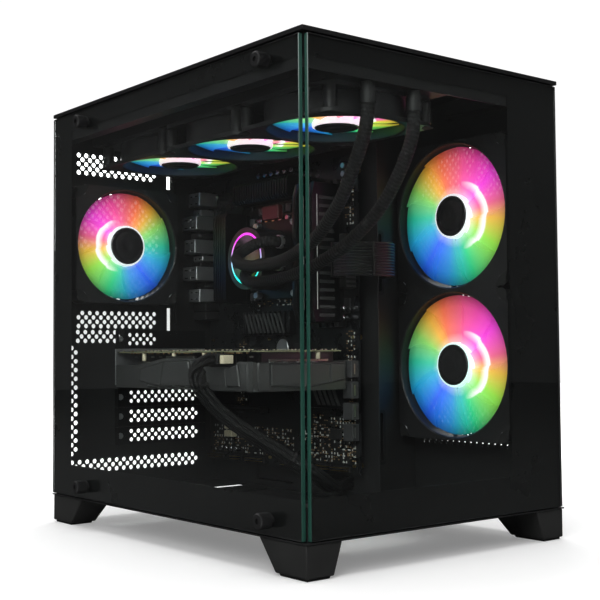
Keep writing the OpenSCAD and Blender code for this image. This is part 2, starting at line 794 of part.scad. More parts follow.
chassis_floor();
rear_wall();
top_frame();
motherboard_tray();
fan_bracket();
front_post();
feet();
foot_pads();
top_filter();
bottom_filter();
side_glass();
glass_thumbscrews();
glass_screw_shanks();
front_glass();
right_panel();
panel_thumbscrews();
panel_screw_shanks();
port_strip();
power_button();
reset_button();
motherboard();
rear_ports();
vrm_heatsinks();
board_heatsinks();
processor();
board_slots();
memory_sticks();
standoffs();
pump_bracket();
pump();
tube_1();
tube_2();
radiator();
top_fan_1();
top_fan_2();
top_fan_3();
rear_fan();
side_fan_1();
side_fan_2();
top_rotor_1();
top_rotor_2();
top_rotor_3();
rear_rotor();
side_rotor_1();
side_rotor_2();
gpu_board();
gpu_heatsink();
gpu_shroud();
gpu_bracket();
gpu_fan_1();
gpu_fan_2();
slot_covers();
psu_case();
psu_fan();
psu_switch();
drive();
drive_caddy();
board_power_cable();
gpu_power_cable();
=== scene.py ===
"""Desktop computer tower: the finished look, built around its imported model.

Places are in millimetres from the case's own corner: X from the outside of the side glass,
Y from the outside of the front glass towards the rear, Z up from the floor.
"""

import logging
from dataclasses import dataclass
from enum import Enum
from functools import cache
from itertools import product
from math import cos, pi, radians, sin
from typing import Optional, Sequence

import bmesh
import bpy
from bpy.types import ID, Material, Mesh, Node, NodeTree, Object, bpy_prop_collection
from bpy.types import NodeSocket as Socket
from mathutils import Matrix, Vector


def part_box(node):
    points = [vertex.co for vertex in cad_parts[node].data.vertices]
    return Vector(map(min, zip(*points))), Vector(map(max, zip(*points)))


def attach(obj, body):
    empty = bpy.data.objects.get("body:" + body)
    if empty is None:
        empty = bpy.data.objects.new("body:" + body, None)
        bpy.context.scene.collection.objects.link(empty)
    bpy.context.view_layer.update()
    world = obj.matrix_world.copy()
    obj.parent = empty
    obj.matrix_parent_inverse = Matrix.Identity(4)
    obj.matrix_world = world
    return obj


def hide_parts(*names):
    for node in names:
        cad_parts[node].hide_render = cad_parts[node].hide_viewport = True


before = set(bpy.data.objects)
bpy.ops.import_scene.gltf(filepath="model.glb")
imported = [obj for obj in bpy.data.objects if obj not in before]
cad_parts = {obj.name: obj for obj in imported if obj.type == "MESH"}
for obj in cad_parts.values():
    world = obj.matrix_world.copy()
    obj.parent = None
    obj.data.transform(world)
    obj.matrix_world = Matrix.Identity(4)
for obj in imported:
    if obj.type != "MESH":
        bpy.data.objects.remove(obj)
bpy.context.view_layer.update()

Point = Sequence[float]
Colour = tuple[float, float, float]

MM = 0.001
LOG = logging.getLogger("tower")
CORNER = Vector((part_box("top_frame")[0].x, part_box("top_frame")[0].y, 0.0))
SHARP_ANGLE = 35.0
SIDE_FAN_HEIGHTS = (155.2, 295.2)
SLOT_HEIGHTS = (122.3, 102.0, 81.7)
TUBE_PORTS = (76, 127)
SIGNS = tuple(product((-1, 1), repeat=2))


def spot(point: Point) -> Vector:
    """A place in case millimetres, in the frame's metres."""
    return CORNER + Vector(point) * MM


def case_box(node: str) -> tuple[Vector, Vector]:
    """The lowest and highest corner of a CAD node in case millimetres."""
    low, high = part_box(node)
    return (low - CORNER) / MM, (high - CORNER) / MM


def srgb(red: int, green: int, blue: int) -> Colour:
    """Turns a screen colour of 0 to 255 a channel into linear light.

    Args:
        red: Red channel.
        green: Green channel.
        blue: Blue channel.

    Returns:
        The colour in linear light.
    """
    def linear(value: float) -> float:
        """One channel from 0 to 1, made linear."""
        return value / 12.92 if value <= 0.04045 else ((value + 0.055) / 1.055) ** 2.4
    return tuple(linear(channel / 255) for channel in (red, green, blue))


class Axis(Enum):
    """The direction that a shape is drawn along."""
    X = 0
    Y = 1
    Z = 2

    def lift(self, a: float, b: float, along: float) -> tuple[float, float, float]:
        """A point from its two plane coordinates, in X, Y, Z order, and its place along."""
        point = [a, b]
        point.insert(self.value, along)
        return tuple(point)


# ---- Materials ----


class Graph:
    """Short calls that build one node tree."""

    def __init__(self, tree: NodeTree) -> None:
        """Starts on a tree that holds no nodes yet."""
        self.tree = tree

    def feed(self, made: Node, inputs: dict) -> None:
        """Gives a node's inputs, by name or number, their values or the sockets that feed them."""
        for name, value in inputs.items():
            if isinstance(value, Socket):
                self.tree.links.new(value, made.inputs[name])
            else:
                made.inputs[name].default_value = value

    def node(self, kind: str, inputs: Optional[dict] = None, **settings: object) -> Node:
        """Adds a node.

        Args:
            kind: The node's type name.
            inputs: Values or sockets by input name or number.
            settings: Properties of the node.

        Returns:
            The new node.
        """
        made = self.tree.nodes.new(kind)
        for name, value in settings.items():
            setattr(made, name, value)
        self.feed(made, inputs or {})
        return made

    def math(self, operation: str, first: object, second: object = 0.0,
             third: object = 0.0) -> Socket:
        """The result of a maths node on up to three values."""
        inputs = {0: first, 1: second, 2: third}
        return self.node("ShaderNodeMath", inputs, operation=operation).outputs[0]

    def mix(self, factor: object, first: object, second: object) -> Socket:
        """A colour between two others."""
        pair = [value if isinstance(value, Socket) else (*value, 1.0)
                for value in (first, second)]
        made = self.node("ShaderNodeMix", {0: factor, 6: pair[0], 7: pair[1]}, data_type="RGBA")
        return made.outputs[2]

    def between(self, value: object, low: float, high: float, start: float = 0.0,
                end: float = 1.0) -> Socket:
        """A value from start to end, spread from low to high."""
        return self.node("ShaderNodeMapRange",
                         {0: value, 1: start, 2: end, 3: low, 4: high}).outputs[0]

    def bump(self, height: object, depth: float, strength: float) -> Socket:
        """The relief that a height gives, its depth in millimetres."""
        return self.node("ShaderNodeBump", {"Strength": strength, "Distance": depth * MM,
                                            "Height": height}).outputs[0]

    def ramp(self, value: object, stops: Sequence[tuple[float, Colour]]) -> Socket:
        """A colour looked up along stops of place and colour."""
        made = self.node("ShaderNodeValToRGB", {0: value})
        elements = made.color_ramp.elements
        while len(elements) < len(stops):
            elements.new(0.5)
        for element, (place, _) in zip(elements, stops):
            element.position = place
        for element, (place, colour) in zip(elements, stops):
            element.position = place
            element.color = (*colour, 1.0)
        return made.outputs[0]

    def group(self, tree: NodeTree, inputs: dict) -> Node:
        """Places a node group."""
        return self.node("ShaderNodeGroup", inputs, node_tree=tree)


def new_tree(kind: str, name: str, inputs: dict[str, str],
             outputs: dict[str, str]) -> tuple[Graph, bpy_prop_collection]:
    """Starts a node group.

    Args:
        kind: Shader or Geometry.
        name: The group's name.
        inputs: Input names and their kinds, such as Float.
        outputs: Output names and their kinds.

    Returns:
        A graph on the new group, and its input sockets by name.
    """
    tree = bpy.data.node_groups.new(name, kind + "NodeTree")
    for in_out, sockets in (("INPUT", inputs), ("OUTPUT", outputs)):
        for socket, sort in sockets.items():
            tree.interface.new_socket(name=socket, in_out=in_out, socket_type="NodeSocket" + sort)
    graph = Graph(tree)
    return graph, graph.node("NodeGroupInput").outputs


@cache
def detail_group() -> NodeTree:
    """The group that gives every finish its fine grain and its broad, slow change of tone."""
    graph, given = new_tree("Shader", "surface_detail",
                            {"Vector": "Vector", "Grain": "Float", "Patch": "Float"},
                            {"Tone": "Float", "Height": "Float"})
    fine, broad = [graph.node("ShaderNodeTexNoise", {
        "Vector": given["Vector"], "Scale": given[size], "Detail": detail,
        "Roughness": rough}).outputs[0] for size, detail, rough in (("Grain", 2.0, 0.6),
                                                                    ("Patch", 4.0, 0.55))]
    graph.node("NodeGroupOutput", {"Tone": graph.between(broad, 0.0, 1.0, 0.3, 0.7),
                                   "Height": fine})
    return graph.tree


@cache
def braid_group() -> NodeTree:
    """The group that gives woven sleeving its crossing strands, on a map along the cord."""
    graph, given = new_tree("Shader", "braid",
                            {"Vector": "Vector", "Strands": "Float", "Pitch": "Float"},
                            {"Height": "Float"})
    parts = graph.node("ShaderNodeSeparateXYZ", {0: given["Vector"]}).outputs
    around = graph.math("MULTIPLY", parts[0], given["Strands"])
    along = graph.math("MULTIPLY", parts[1], given["Pitch"])
    waves = [graph.math("SINE", graph.math("MULTIPLY", graph.math(way, around, along),
                                           2 * pi)) for way in ("ADD", "SUBTRACT")]
    graph.node("NodeGroupOutput", {"Height": graph.math("MULTIPLY", waves[0], waves[1])})
    return graph.tree


def greys(*stops: tuple[float, float]) -> tuple[tuple[float, Colour], ...]:
    """Stops of a ramp from places and levels of grey."""
    return tuple((place, (level, level, level)) for place, level in stops)


@cache
def glow_group() -> NodeTree:
    """The group that spreads a rainbow round a centre, brightest near the hub's light ring."""
    graph, given = new_tree("Shader", "rainbow_glow",
                            {"Vector": "Vector", "Right": "Vector", "Up": "Vector",
                             "Reach": "Float"},
                            {"Color": "Color", "Light": "Color"})
    calc = graph.math
    right, up = [graph.node("ShaderNodeVectorMath", {0: given["Vector"], 1: given[way]},
                            operation="DOT_PRODUCT").outputs["Value"] for way in ("Right", "Up")]

    def far(across: Socket) -> Socket:
        """How far out a place is, in parts of the reach."""
        square = calc("ADD", calc("POWER", across, 2.0), calc("POWER", up, 2.0))
        return calc("DIVIDE", calc("SQRT", square), given["Reach"])

    turn = calc("MULTIPLY_ADD", calc("ARCTAN2", right, up), 0.5 / pi, 1.0)
    hue = graph.ramp(calc("FRACT", turn), RAINBOW)
    out = far(right)
    lit = graph.ramp(out, greys((0.30, 0.95), (0.55, 1.0), (0.84, 0.66), (1.0, 0.22)))
    white = graph.ramp(out, greys((0.30, 0.42), (0.46, 0.06), (1.0, 0.0)))
    shift = calc("SUBTRACT", right, calc("MULTIPLY", given["Reach"], 0.13))
    rim = graph.ramp(far(shift), greys((0.34, 0.0), (0.45, 1.0), (0.475, 1.0), (0.50, 0.0)))
    facing = graph.between(calc("DIVIDE", right, given["Reach"]), 0.0, 1.0, 0.12, 0.42)
    crescent = calc("MULTIPLY", rim, facing)
    pale = graph.mix(calc("MAXIMUM", white, crescent), hue, (1.0, 1.0, 1.0))
    light = graph.node("ShaderNodeMix", {0: 1.0, 6: pale, 7: lit}, data_type="RGBA",
                       blend_type="MULTIPLY").outputs[2]
    graph.node("NodeGroupOutput", {"Color": pale, "Light": light})
    return graph.tree


RAINBOW = ((0.00, srgb(235, 84, 112)), (0.07, srgb(245, 60, 165)), (0.15, srgb(255, 52, 225)),
           (0.22, srgb(240, 92, 140)), (0.27, srgb(245, 190, 60)), (0.34, srgb(150, 228, 62)),
           (0.44, srgb(0, 205, 130)), (0.53, srgb(0, 140, 215)), (0.61, srgb(0, 92, 238)),
           (0.69, srgb(0, 160, 214)), (0.76, srgb(20, 190, 150)), (0.83, srgb(130, 204, 90)),
           (0.89, srgb(235, 172, 44)), (0.95, srgb(242, 104, 62)), (1.00, srgb(235, 84, 112)))


class Surface:
    """The base of every finish: a material made once and kept by its name."""
    name: str

    def dress(self, graph: Graph, shader: Node) -> None:
        """Sets the shader up; each finish does it its own way."""
        raise NotImplementedError

    def material(self) -> Material:
        """The finish's material, built the first time that it is asked for."""
        found = bpy.data.materials.get(self.name)
        if found:
            return found
        made = bpy.data.materials.new(self.name)
        made.use_nodes = True
        made.node_tree.nodes.clear()
        graph = Graph(made.node_tree)
        shader = graph.node("ShaderNodeBsdfPrincipled")
        output = graph.node("ShaderNodeOutputMaterial")
        made.node_tree.links.new(shader.outputs[0], output.inputs[0])
        self.dress(graph, shader)
        return made

    @staticmethod
    def place(graph: Graph) -> Socket:
        """Object coordinates, in metres."""
        return graph.node("ShaderNodeTexCoord").outputs["Object"]


@dataclass(frozen=True)
class Finish(Surface):
    """A solid finish with grain, a slow change of tone and an uneven gloss.

    Grain and patch are the sizes of the two patterns in millimetres, relief the grain's height
    in millimetres, and stretch pulls the grain out along X, Y and Z, as brushing does.
    """
    name: str
    colour: Colour
    roughness: float
    metallic: float = 0.0
    grain: float = 0.5
    relief: float = 0.02
    patch: float = 60.0
    variation: float = 0.12
    gloss: float = 0.5
    coat: float = 0.0
    stretch: tuple[float, float, float] = (1.0, 1.0, 1.0)

    def dress(self, graph: Graph, shader: Node) -> None:
        """Puts the detail group's tone into colour and gloss, and its grain into the relief."""
        place = graph.node("ShaderNodeMapping", {0: self.place(graph), 3: self.stretch}).outputs[0]
        detail = graph.group(detail_group(), {"Vector": place, "Grain": 1 / (self.grain * MM),
                                              "Patch": 1 / (self.patch * MM)})
        dark = tuple(channel * (1 - self.variation) for channel in self.colour)
        pale = tuple(min(1.0, channel * (1 + self.variation)) for channel in self.colour)
        tone = detail.outputs["Tone"]
        spread = 0.35 * self.variation
        graph.feed(shader, {
            "Base Color": graph.mix(tone, dark, pale),
            "Roughness": graph.between(tone, self.roughness - spread,
                                       min(1.0, self.roughness + spread)),
            "Normal": graph.bump(detail.outputs["Height"], self.relief, 0.6),
            "Metallic": self.metallic, "Specular IOR Level": self.gloss,
            "Coat Weight": self.coat, "Coat Roughness": 0.1})


@dataclass(frozen=True)
class Braid(Surface):
    """Woven sleeving over a tube or wire, on the map that runs along it."""
    name: str
    colour: Colour
    strands: float = 14.0
    pitch: float = 160.0
    relief: float = 0.35

    def dress(self, graph: Graph, shader: Node) -> None:
        """Crossing strands as relief, with painted shade that darkens the valleys against the
        crowns.
        """
        along = graph.node("ShaderNodeTexCoord").outputs["UV"]
        weave = graph.group(braid_group(), {"Vector": along, "Strands": self.strands,
                                            "Pitch": self.pitch}).outputs["Height"]
        mask = graph.between(weave, 0.0, 1.0, -0.6, 0.6)
        # Painted shade: the colour of the valleys between the strands is darkened.
        dark = tuple(channel * 0.45 for channel in self.colour)
        graph.feed(shader, {
            "Base Color": graph.mix(mask, dark, self.colour),
            "Roughness": graph.between(mask, 0.75, 0.42), "Specular IOR Level": 0.35,
            "Normal": graph.bump(weave, self.relief, 0.8)})


@dataclass(frozen=True)
class Glass(Surface):
    """Clear or tinted glass that lets lamps reach what stands behind it."""
    name: str
    colour: Colour
    roughness: float = 0.0

    def dress(self, graph: Graph, shader: Node) -> None:
        """Full transmission, with a see-through shader for shadow rays."""
        place = self.place(graph)
        smear = graph.group(detail_group(), {"Vector": place, "Grain": 40.0, "Patch": 8.0})
        graph.feed(shader, {
            "Roughness": graph.between(smear.outputs["Tone"], self.roughness,
                                       self.roughness + 0.012),
            "Base Color": (*self.colour, 1.0), "Transmission Weight": 1.0, "IOR": 1.45})
        clear = graph.node("ShaderNodeBsdfTransparent", {0: (*self.colour, 1.0)})
        path = graph.node("ShaderNodeLightPath").outputs["Is Shadow Ray"]
        mixed = graph.node("ShaderNodeMixShader", {0: path, 1: shader.outputs[0],
                                                   2: clear.outputs[0]})
        output = next(n for n in graph.tree.nodes if n.type == "OUTPUT_MATERIAL")
        graph.tree.links.new(mixed.outputs[0], output.inputs[0])


@dataclass(frozen=True)
class Glow(Surface):
    """Milky plastic lit in a rainbow round a fan's axle.

    Centre is in case millimetres, and right and up are the directions that the colours are set
    out by, turning from up towards right.
    """
    name: str
    centre: tuple[float, float, float]
    right: tuple[float, float, float]
    up: tuple[float, float, float]
    reach: float
    strength: float = 1.0
    alpha: float = 1.0

    def dress(self, graph: Graph, shader: Node) -> None:
        """The rainbow group feeds both the body colour and the light."""
        centre = spot(self.centre)
        place = graph.node("ShaderNodeMapping", {0: self.place(graph), 1: tuple(-centre)})
        glow = graph.group(glow_group(), {"Vector": place.outputs[0], "Right": self.right,
                                          "Up": self.up,
                                          "Reach": self.reach * MM})
        graph.feed(shader, {
            "Base Color": graph.mix(0.75, glow.outputs["Color"], (0.03, 0.03, 0.03)),
            "Emission Color": glow.outputs["Light"], "Emission Strength": self.strength,
            "Roughness": 0.35, "Alpha": self.alpha})


STEEL = Finish("black_powder_coat", (0.010, 0.010, 0.0105), 0.42, grain=0.45, relief=0.03)
INSIDE_STEEL = Finish("black_inner_steel", (0.012, 0.0125, 0.013), 0.5, grain=0.5, relief=0.03)
MATT = Finish("matt_black_plastic", (0.012, 0.012, 0.0125), 0.5, grain=0.35, relief=0.02)
SATIN = Finish("satin_black_plastic", (0.018, 0.018, 0.019), 0.32, grain=0.6, relief=0.01)
GREY = Finish("dark_grey_plastic", (0.045, 0.046, 0.048), 0.45, grain=0.4, relief=0.03)
FOOT = Finish("foot_plastic", (0.022, 0.0225, 0.022), 0.48, grain=0.5, relief=0.04, patch=25)
RUBBER = Finish("black_rubber", (0.01, 0.01, 0.01), 0.8, grain=0.8, relief=0.05)
ALUMINIUM = Finish("brushed_aluminium", (0.55, 0.56, 0.58), 0.3, metallic=1.0, grain=1.2,
                   relief=0.008, stretch=(1.0, 0.06, 1.0))
BLACK_METAL = Finish("black_anodised", (0.035, 0.036, 0.038), 0.34, metallic=0.85, grain=0.8,
                     relief=0.01, stretch=(1.0, 1.0, 0.1))
NICKEL = Finish("plated_steel", (0.34, 0.35, 0.36), 0.27, metallic=1.0, grain=1.0, relief=0.01)
BRASS = Finish("brass", (0.62, 0.46, 0.2), 0.28, metallic=1.0, grain=1.0, relief=0.01)
GLOSS = Finish("gloss_black", (0.006, 0.006, 0.0065), 0.14, grain=2.0, relief=0.002, coat=0.6)
PRINT = Finish("printed_border", (0.0045, 0.0045, 0.0047), 0.3, grain=1.5, relief=0.002)
CLEAR = Glass("tempered_glass", (0.90, 0.93, 0.915))
EDGE = Finish("glass_edge", srgb(38, 76, 66), 0.2, grain=2.0, relief=0.01, patch=90,
              variation=0.2, coat=0.4)


# ---- Shapes ----


class Shape:
    """Collects solids in case millimetres into the mesh of one piece."""

    def __init__(self, name: str) -> None:
        """Starts an empty piece."""
        self.name = name
        self.mesh = bmesh.new()
        self.uv = self.mesh.loops.layers.uv.new("along")
        self.finishes: list[Surface] = []
        self.index = 0

    def use(self, finish: Surface) -> "Shape":
        """Later solids take this finish."""
        if finish not in self.finishes:
            self.finishes.append(finish)
        self.index = self.finishes.index(finish)
        return self

    def _close(self, faces: Sequence[bmesh.types.BMFace]) -> None:
        """Turns new faces outwards and gives them the finish in use."""
        bmesh.ops.recalc_face_normals(self.mesh, faces=faces)
        for face in faces:
            face.material_index = self.index

    def loft(self, loops: Sequence[Sequence[Point]], ring: bool = False,
             run: Sequence[float] = ()) -> "Shape":
        """Skins closed loops that have the same number of points.

        Args:
            loops: The loops in order.
            ring: Joins the last loop to the first, as in a tube's wall.
            run: How far along each loop lies, for a map round the loops and along them.

        Returns:
            The shape itself.
        """
        made = [[self.mesh.verts.new(point) for point in loop] for loop in loops]
        count = len(made[0])
        faces = []
        pairs = list(zip(made, made[1:])) + ([(made[-1], made[0])] if ring else [])
        for step, (low, high) in enumerate(pairs):
            for i in range(count):
                j = (i + 1) % count
                faces.append(self.mesh.faces.new((low[i], low[j], high[j], high[i])))
                places = ((i, step), (i + 1, step), (i + 1, step + 1), (i, step + 1))
                for loop, (around, place) in zip(faces[-1].loops, places if run else ()):
                    loop[self.uv].uv = (around / count, run[place] * MM)
        if not ring:
            faces.append(self.mesh.faces.new(made[0]))
            faces.append(self.mesh.faces.new(made[-1]))
        self._close(faces)
        return self

    def prism(self, outline: Sequence[Point], axis: Axis, start: float, end: float,
              chamfer: float = 0.0) -> "Shape":
        """Draws an outline out along an axis, with its two ends chamfered."""
        stations = [(start, chamfer), (start + chamfer, 0.0), (end - chamfer, 0.0), (end, chamfer)]
        if chamfer <= 0:
            stations = [(start, 0.0), (end, 0.0)]
        centre = [sum(point[k] for point in outline) / len(outline) for k in (0, 1)]
        spans = [max(point[k] for point in outline) - min(point[k] for point in outline)
                 for k in (0, 1)]
        loops = []
        for along, inset in stations:
            scale = [1 - 2 * inset / spans[k] for k in (0, 1)]
            loops.append([axis.lift(*(centre[k] + (point[k] - centre[k]) * scale[k]
                                      for k in (0, 1)), along) for point in outline])
        return self.loft(loops)

    def box(self, low: Point, high: Point, chamfer: float = 0.0) -> "Shape":
        """A block between two corners, its edges chamfered."""
        if chamfer <= 0:
            outline = ((low[0], low[1]), (high[0], low[1]), (high[0], high[1]), (low[0], high[1]))
        else:
            c = chamfer
            outline = ((low[0] + c, low[1]), (high[0] - c, low[1]), (high[0], low[1] + c),
                       (high[0], high[1] - c), (high[0] - c, high[1]), (low[0] + c, high[1]),
                       (low[0], high[1] - c), (low[0], low[1] + c))
        return self.prism(outline, Axis.Z, low[2], high[2], chamfer)

    def rod(self, start: Point, axis: Axis, radius: float, length: float, sides: int = 24,
            chamfer: float = 0.0) -> "Shape":
        """A round bar from a start point along an axis."""
        a, b = [start[k] for k in range(3) if k != axis.value]
        outline = circle(radius, sides, (a, b))
        along = start[axis.value]
        return self.prism(outline, axis, along, along + length, chamfer)

    def tube(self, start: Point, axis: Axis, inner: float, outer: float, length: float,
             sides: int = 48) -> "Shape":
        """A round ring with a square section."""
        return self.turned(((inner, 0), (outer, 0), (outer, length), (inner, length)), start,
                           axis, sides)

    def turned(self, profile: Sequence[Point], centre: Point, axis: Axis, sides: int = 48,
               ring: bool = True) -> "Shape":
        """Turns a profile of radius and place along round an axis, its ends joined or closed."""
        a, b = [centre[k] for k in range(3) if k != axis.value]
        return self.loft([[axis.lift(*point, centre[axis.value] + along)
                           for point in circle(radius, sides, (a, b))]
                          for radius, along in profile], ring=ring)

    def window(self, outer: Sequence[Point], inner: Sequence[Point], axis: Axis, start: float,
               end: float) -> "Shape":
        """A plate with one opening; both outlines have the same number of points."""
        return self.loft([[axis.lift(*point, along) for point in outline]
                          for outline, along in ((inner, start), (outer, start), (outer, end),
                                                 (inner, end))], ring=True)

    def sweep(self, points: Sequence[Point], half: float, thick: Optional[float] = None,
              up: Point = (0.0, 0.2, 1.0), sides: int = 16) -> "Shape":
        """Sweeps an oval along points, with a map that runs round it and along it in metres.

        Args:
            points: The route.
            half: Half the width, across the up direction.
            thick: Half the thickness along the up direction; the same as half if not given.
            up: Which way the section stands.
            sides: Points round the section.

        Returns:
            The shape itself.
        """
        thick = half if thick is None else thick
        path = [Vector(point) for point in points]
        loops, run = [], [0.0]
        for i, point in enumerate(path):
            before, after = path[max(i - 1, 0)], path[min(i + 1, len(path) - 1)]
            ahead = (after - before).normalized()
            side = ahead.cross(Vector(up)).normalized()
            stand = ahead.cross(side)
            loops.append([point + side * half * cos(turn) + stand * thick * sin(turn)
                          for turn in turns(sides)])
            if i:
                run.append(run[-1] + (point - path[i - 1]).length)
        return self.loft(loops, run=run)

    def repeat(self, what: "Shape", count: int, step: Point, rows: int = 1,
               row_step: Point = (0.0, 0.0, 0.0), kept: float = 1.1, seed: int = 1) -> "Shape":
        """Adds copies of another shape, set out by geometry nodes, in that shape's finish.

        Args:
            what: What is repeated; it is used up.
            count: Copies in a line.
            step: From one copy to the next.
            rows: Lines.
            row_step: From one line to the next.
            kept: Share of the copies that stay.
            seed: The fixed seed of that chance.

        Returns:
            The shape itself.
        """
        finish = what.finishes[-1]
        data = bpy.data.meshes.new("one")
        what.mesh.to_mesh(data)
        what.mesh.free()
        first = bpy.data.objects.new("one", data)
        mesh = bake(copies_tree(), {
            "Shape": first, "Count": count, "Step": tuple(float(v) for v in step), "Rows": rows,
            "Row Step": tuple(float(v) for v in row_step), "Kept": float(kept), "Seed": seed,
            "Material": finish.material()})
        discard(first)
        self.use(finish)
        known = len(self.mesh.faces)
        self.mesh.from_mesh(mesh)
        self.mesh.faces.ensure_lookup_table()
        bpy.data.meshes.remove(mesh)
        for face in self.mesh.faces[known:]:
            face.material_index = self.index
        return self

    def build(self, slot: str, stands_for: Sequence[str] = (), body: str = "chassis",
              smooth: float = SHARP_ANGLE) -> Object:
        """Makes the piece's object and puts it on its body.

        Args:
            slot: Not used.
            stands_for: CAD nodes that it replaces.
            body: The CAD body that it rides on.
            smooth: Edges flatter than this many degrees are shaded smooth.

        Returns:
            The finished object.
        """
        self.mesh.transform(Matrix.Translation(CORNER) @ Matrix.Diagonal((MM, MM, MM, 1.0)))
        data = bpy.data.meshes.new(self.name)
        self.mesh.to_mesh(data)
        self.mesh.free()
        for finish in self.finishes:
            data.materials.append(finish.material())
        return settle(self.name, data, body, stands_for, smooth)


def stand(name: str, data: ID) -> Object:
    """Puts a mesh, lamp or camera into the scene at the origin."""
    made = bpy.data.objects.new(name, data)
    bpy.context.scene.collection.objects.link(made)
    return made


def discard(made: Object) -> None:
    """Removes a helper object and its mesh."""
    data = made.data
    bpy.data.objects.remove(made)
    bpy.data.meshes.remove(data)


def settle(name: str, data: Mesh, body: str, stands_for: Sequence[str],
           smooth: float = SHARP_ANGLE, width: float = 0.0) -> Object:
    """Makes a piece of a mesh, puts it on its body and hides the CAD nodes that it stands for.

    Args:
        name: The piece's name.
        data: Its mesh.
        body: The CAD body that it rides on.
        stands_for: CAD nodes that it replaces.
        smooth: Edges flatter than this many degrees are shaded smooth.
        width: Width of its rounded edges in millimetres.

    Returns:
        The finished piece.
    """
    made = stand(name, data)
    data.shade_smooth()
    data.set_sharp_from_angle(angle=radians(smooth))
    if width > 0:
        bevel = made.modifiers.new("edges", "BEVEL")
        bevel.width = width * MM
        bevel.segments = 2
        bevel.limit_method = "ANGLE"
        bevel.angle_limit = radians(40)
        bevel.use_clamp_overlap = True
    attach(made, body)
    if stands_for:
        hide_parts(*stands_for)
    LOG.info("%s: %d faces on %s", made.name, len(data.polygons), body)
    return made


def turns(count: int, start: float = 0.0) -> list[float]:
    """Evenly spread angles round a circle, in radians."""
    return [start + 2 * pi * i / count for i in range(count)]


def circle(radius: float, count: int, centre: Point = (0.0, 0.0),
           start: float = 0.0) -> list[tuple[float, float]]:
    """Points round a circle."""
    return [(centre[0] + radius * cos(turn), centre[1] + radius * sin(turn))
            for turn in turns(count, start)]


def rounded(low: Point, high: Point, radius: float, steps: int = 4) -> list[tuple[float, float]]:
    """A rectangle with round corners, anticlockwise from its low right corner."""
    corners = ((high[0] - radius, low[1] + radius, -90), (high[0] - radius, high[1] - radius, 0),
               (low[0] + radius, high[1] - radius, 90), (low[0] + radius, low[1] + radius, 180))
    return [(x + radius * cos(radians(first + 90 * i / steps)),
             y + radius * sin(radians(first + 90 * i / steps)))
            for x, y, first in corners for i in range(steps + 1)]


def carried_over(node: str, finish: Surface) -> None:
    """Gives a CAD node that stays in view its finish."""
    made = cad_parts[node]
    made.data.materials.clear()
    made.data.materials.append(finish.material())


def softened(node: str, finish: Surface, width: float,
             body: str = "chassis") -> Object:
    """Stands in for a CAD node with a copy of it whose edges are rounded.

    Args:
        node: The CAD node.
        finish: What it is made of.
        width: The rounded edge's width in millimetres.
        body: The body that it rides on.

    Returns:
        The new piece.
    """
    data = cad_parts[node].data.copy()
    mesh = bmesh.new()
    mesh.from_mesh(data)
    bmesh.ops.remove_doubles(mesh, verts=mesh.verts, dist=0.005 * MM)
    bmesh.ops.dissolve_limit(mesh, angle_limit=radians(1), verts=mesh.verts,
                             edges=mesh.edges)
    mesh.to_mesh(data)
    mesh.free()
    data.materials.clear()
    data.materials.append(finish.material())
    return settle(node + "_body", data, body, [node], width=width)


# ---- Repeats by Geometry Nodes ----


def bake(tree: NodeTree, values: dict[str, object]) -> Mesh:
    """Runs a geometry node tree and returns its plain mesh.

    Args:
        tree: The tree.
        values: Its inputs by name.

    Returns:
        The mesh, in the tree's own units.
    """
    holder = stand("holder", bpy.data.meshes.new("holder"))
    modifier = holder.modifiers.new("repeat", "NODES")
    modifier.node_group = tree
    for item in tree.interface.items_tree:
        if item.in_out == "INPUT" and item.name in values:
            modifier[item.identifier] = values[item.name]
    holder.update_tag()
    bpy.context.view_layer.update()
    ready = holder.evaluated_get(bpy.context.evaluated_depsgraph_get())
    mesh = bpy.data.meshes.new_from_object(ready)
    holder.modifiers.remove(modifier)
    discard(holder)
    return mesh


def flat_tile(name: str, outline: Sequence[Point],
              hole: Sequence[Point] = ()) -> Object:
    """One flat six-sided cell of a sheet.

    Args:
        name: The helper object's name.
        outline: The cell's six corners from its lowest round to the right.
        hole: The hole's outline from its lowest point round to the right, an even count.

    Returns:
        The helper object, which the caller removes.
    """
    mesh = bmesh.new()
    loops = [list(outline)]
    if hole:
        middle = len(hole) // 2
        loops = [list(outline[:4]) + list(reversed(hole[:middle + 1])),
                 list(outline[3:]) + [outline[0], hole[0]] + list(reversed(hole[middle:]))]
    for loop in loops:
        mesh.faces.new([mesh.verts.new((x, y, 0.0)) for x, y in loop])
    data = bpy.data.meshes.new(name)
    mesh.to_mesh(data)
    mesh.free()
    return bpy.data.objects.new(name, data)


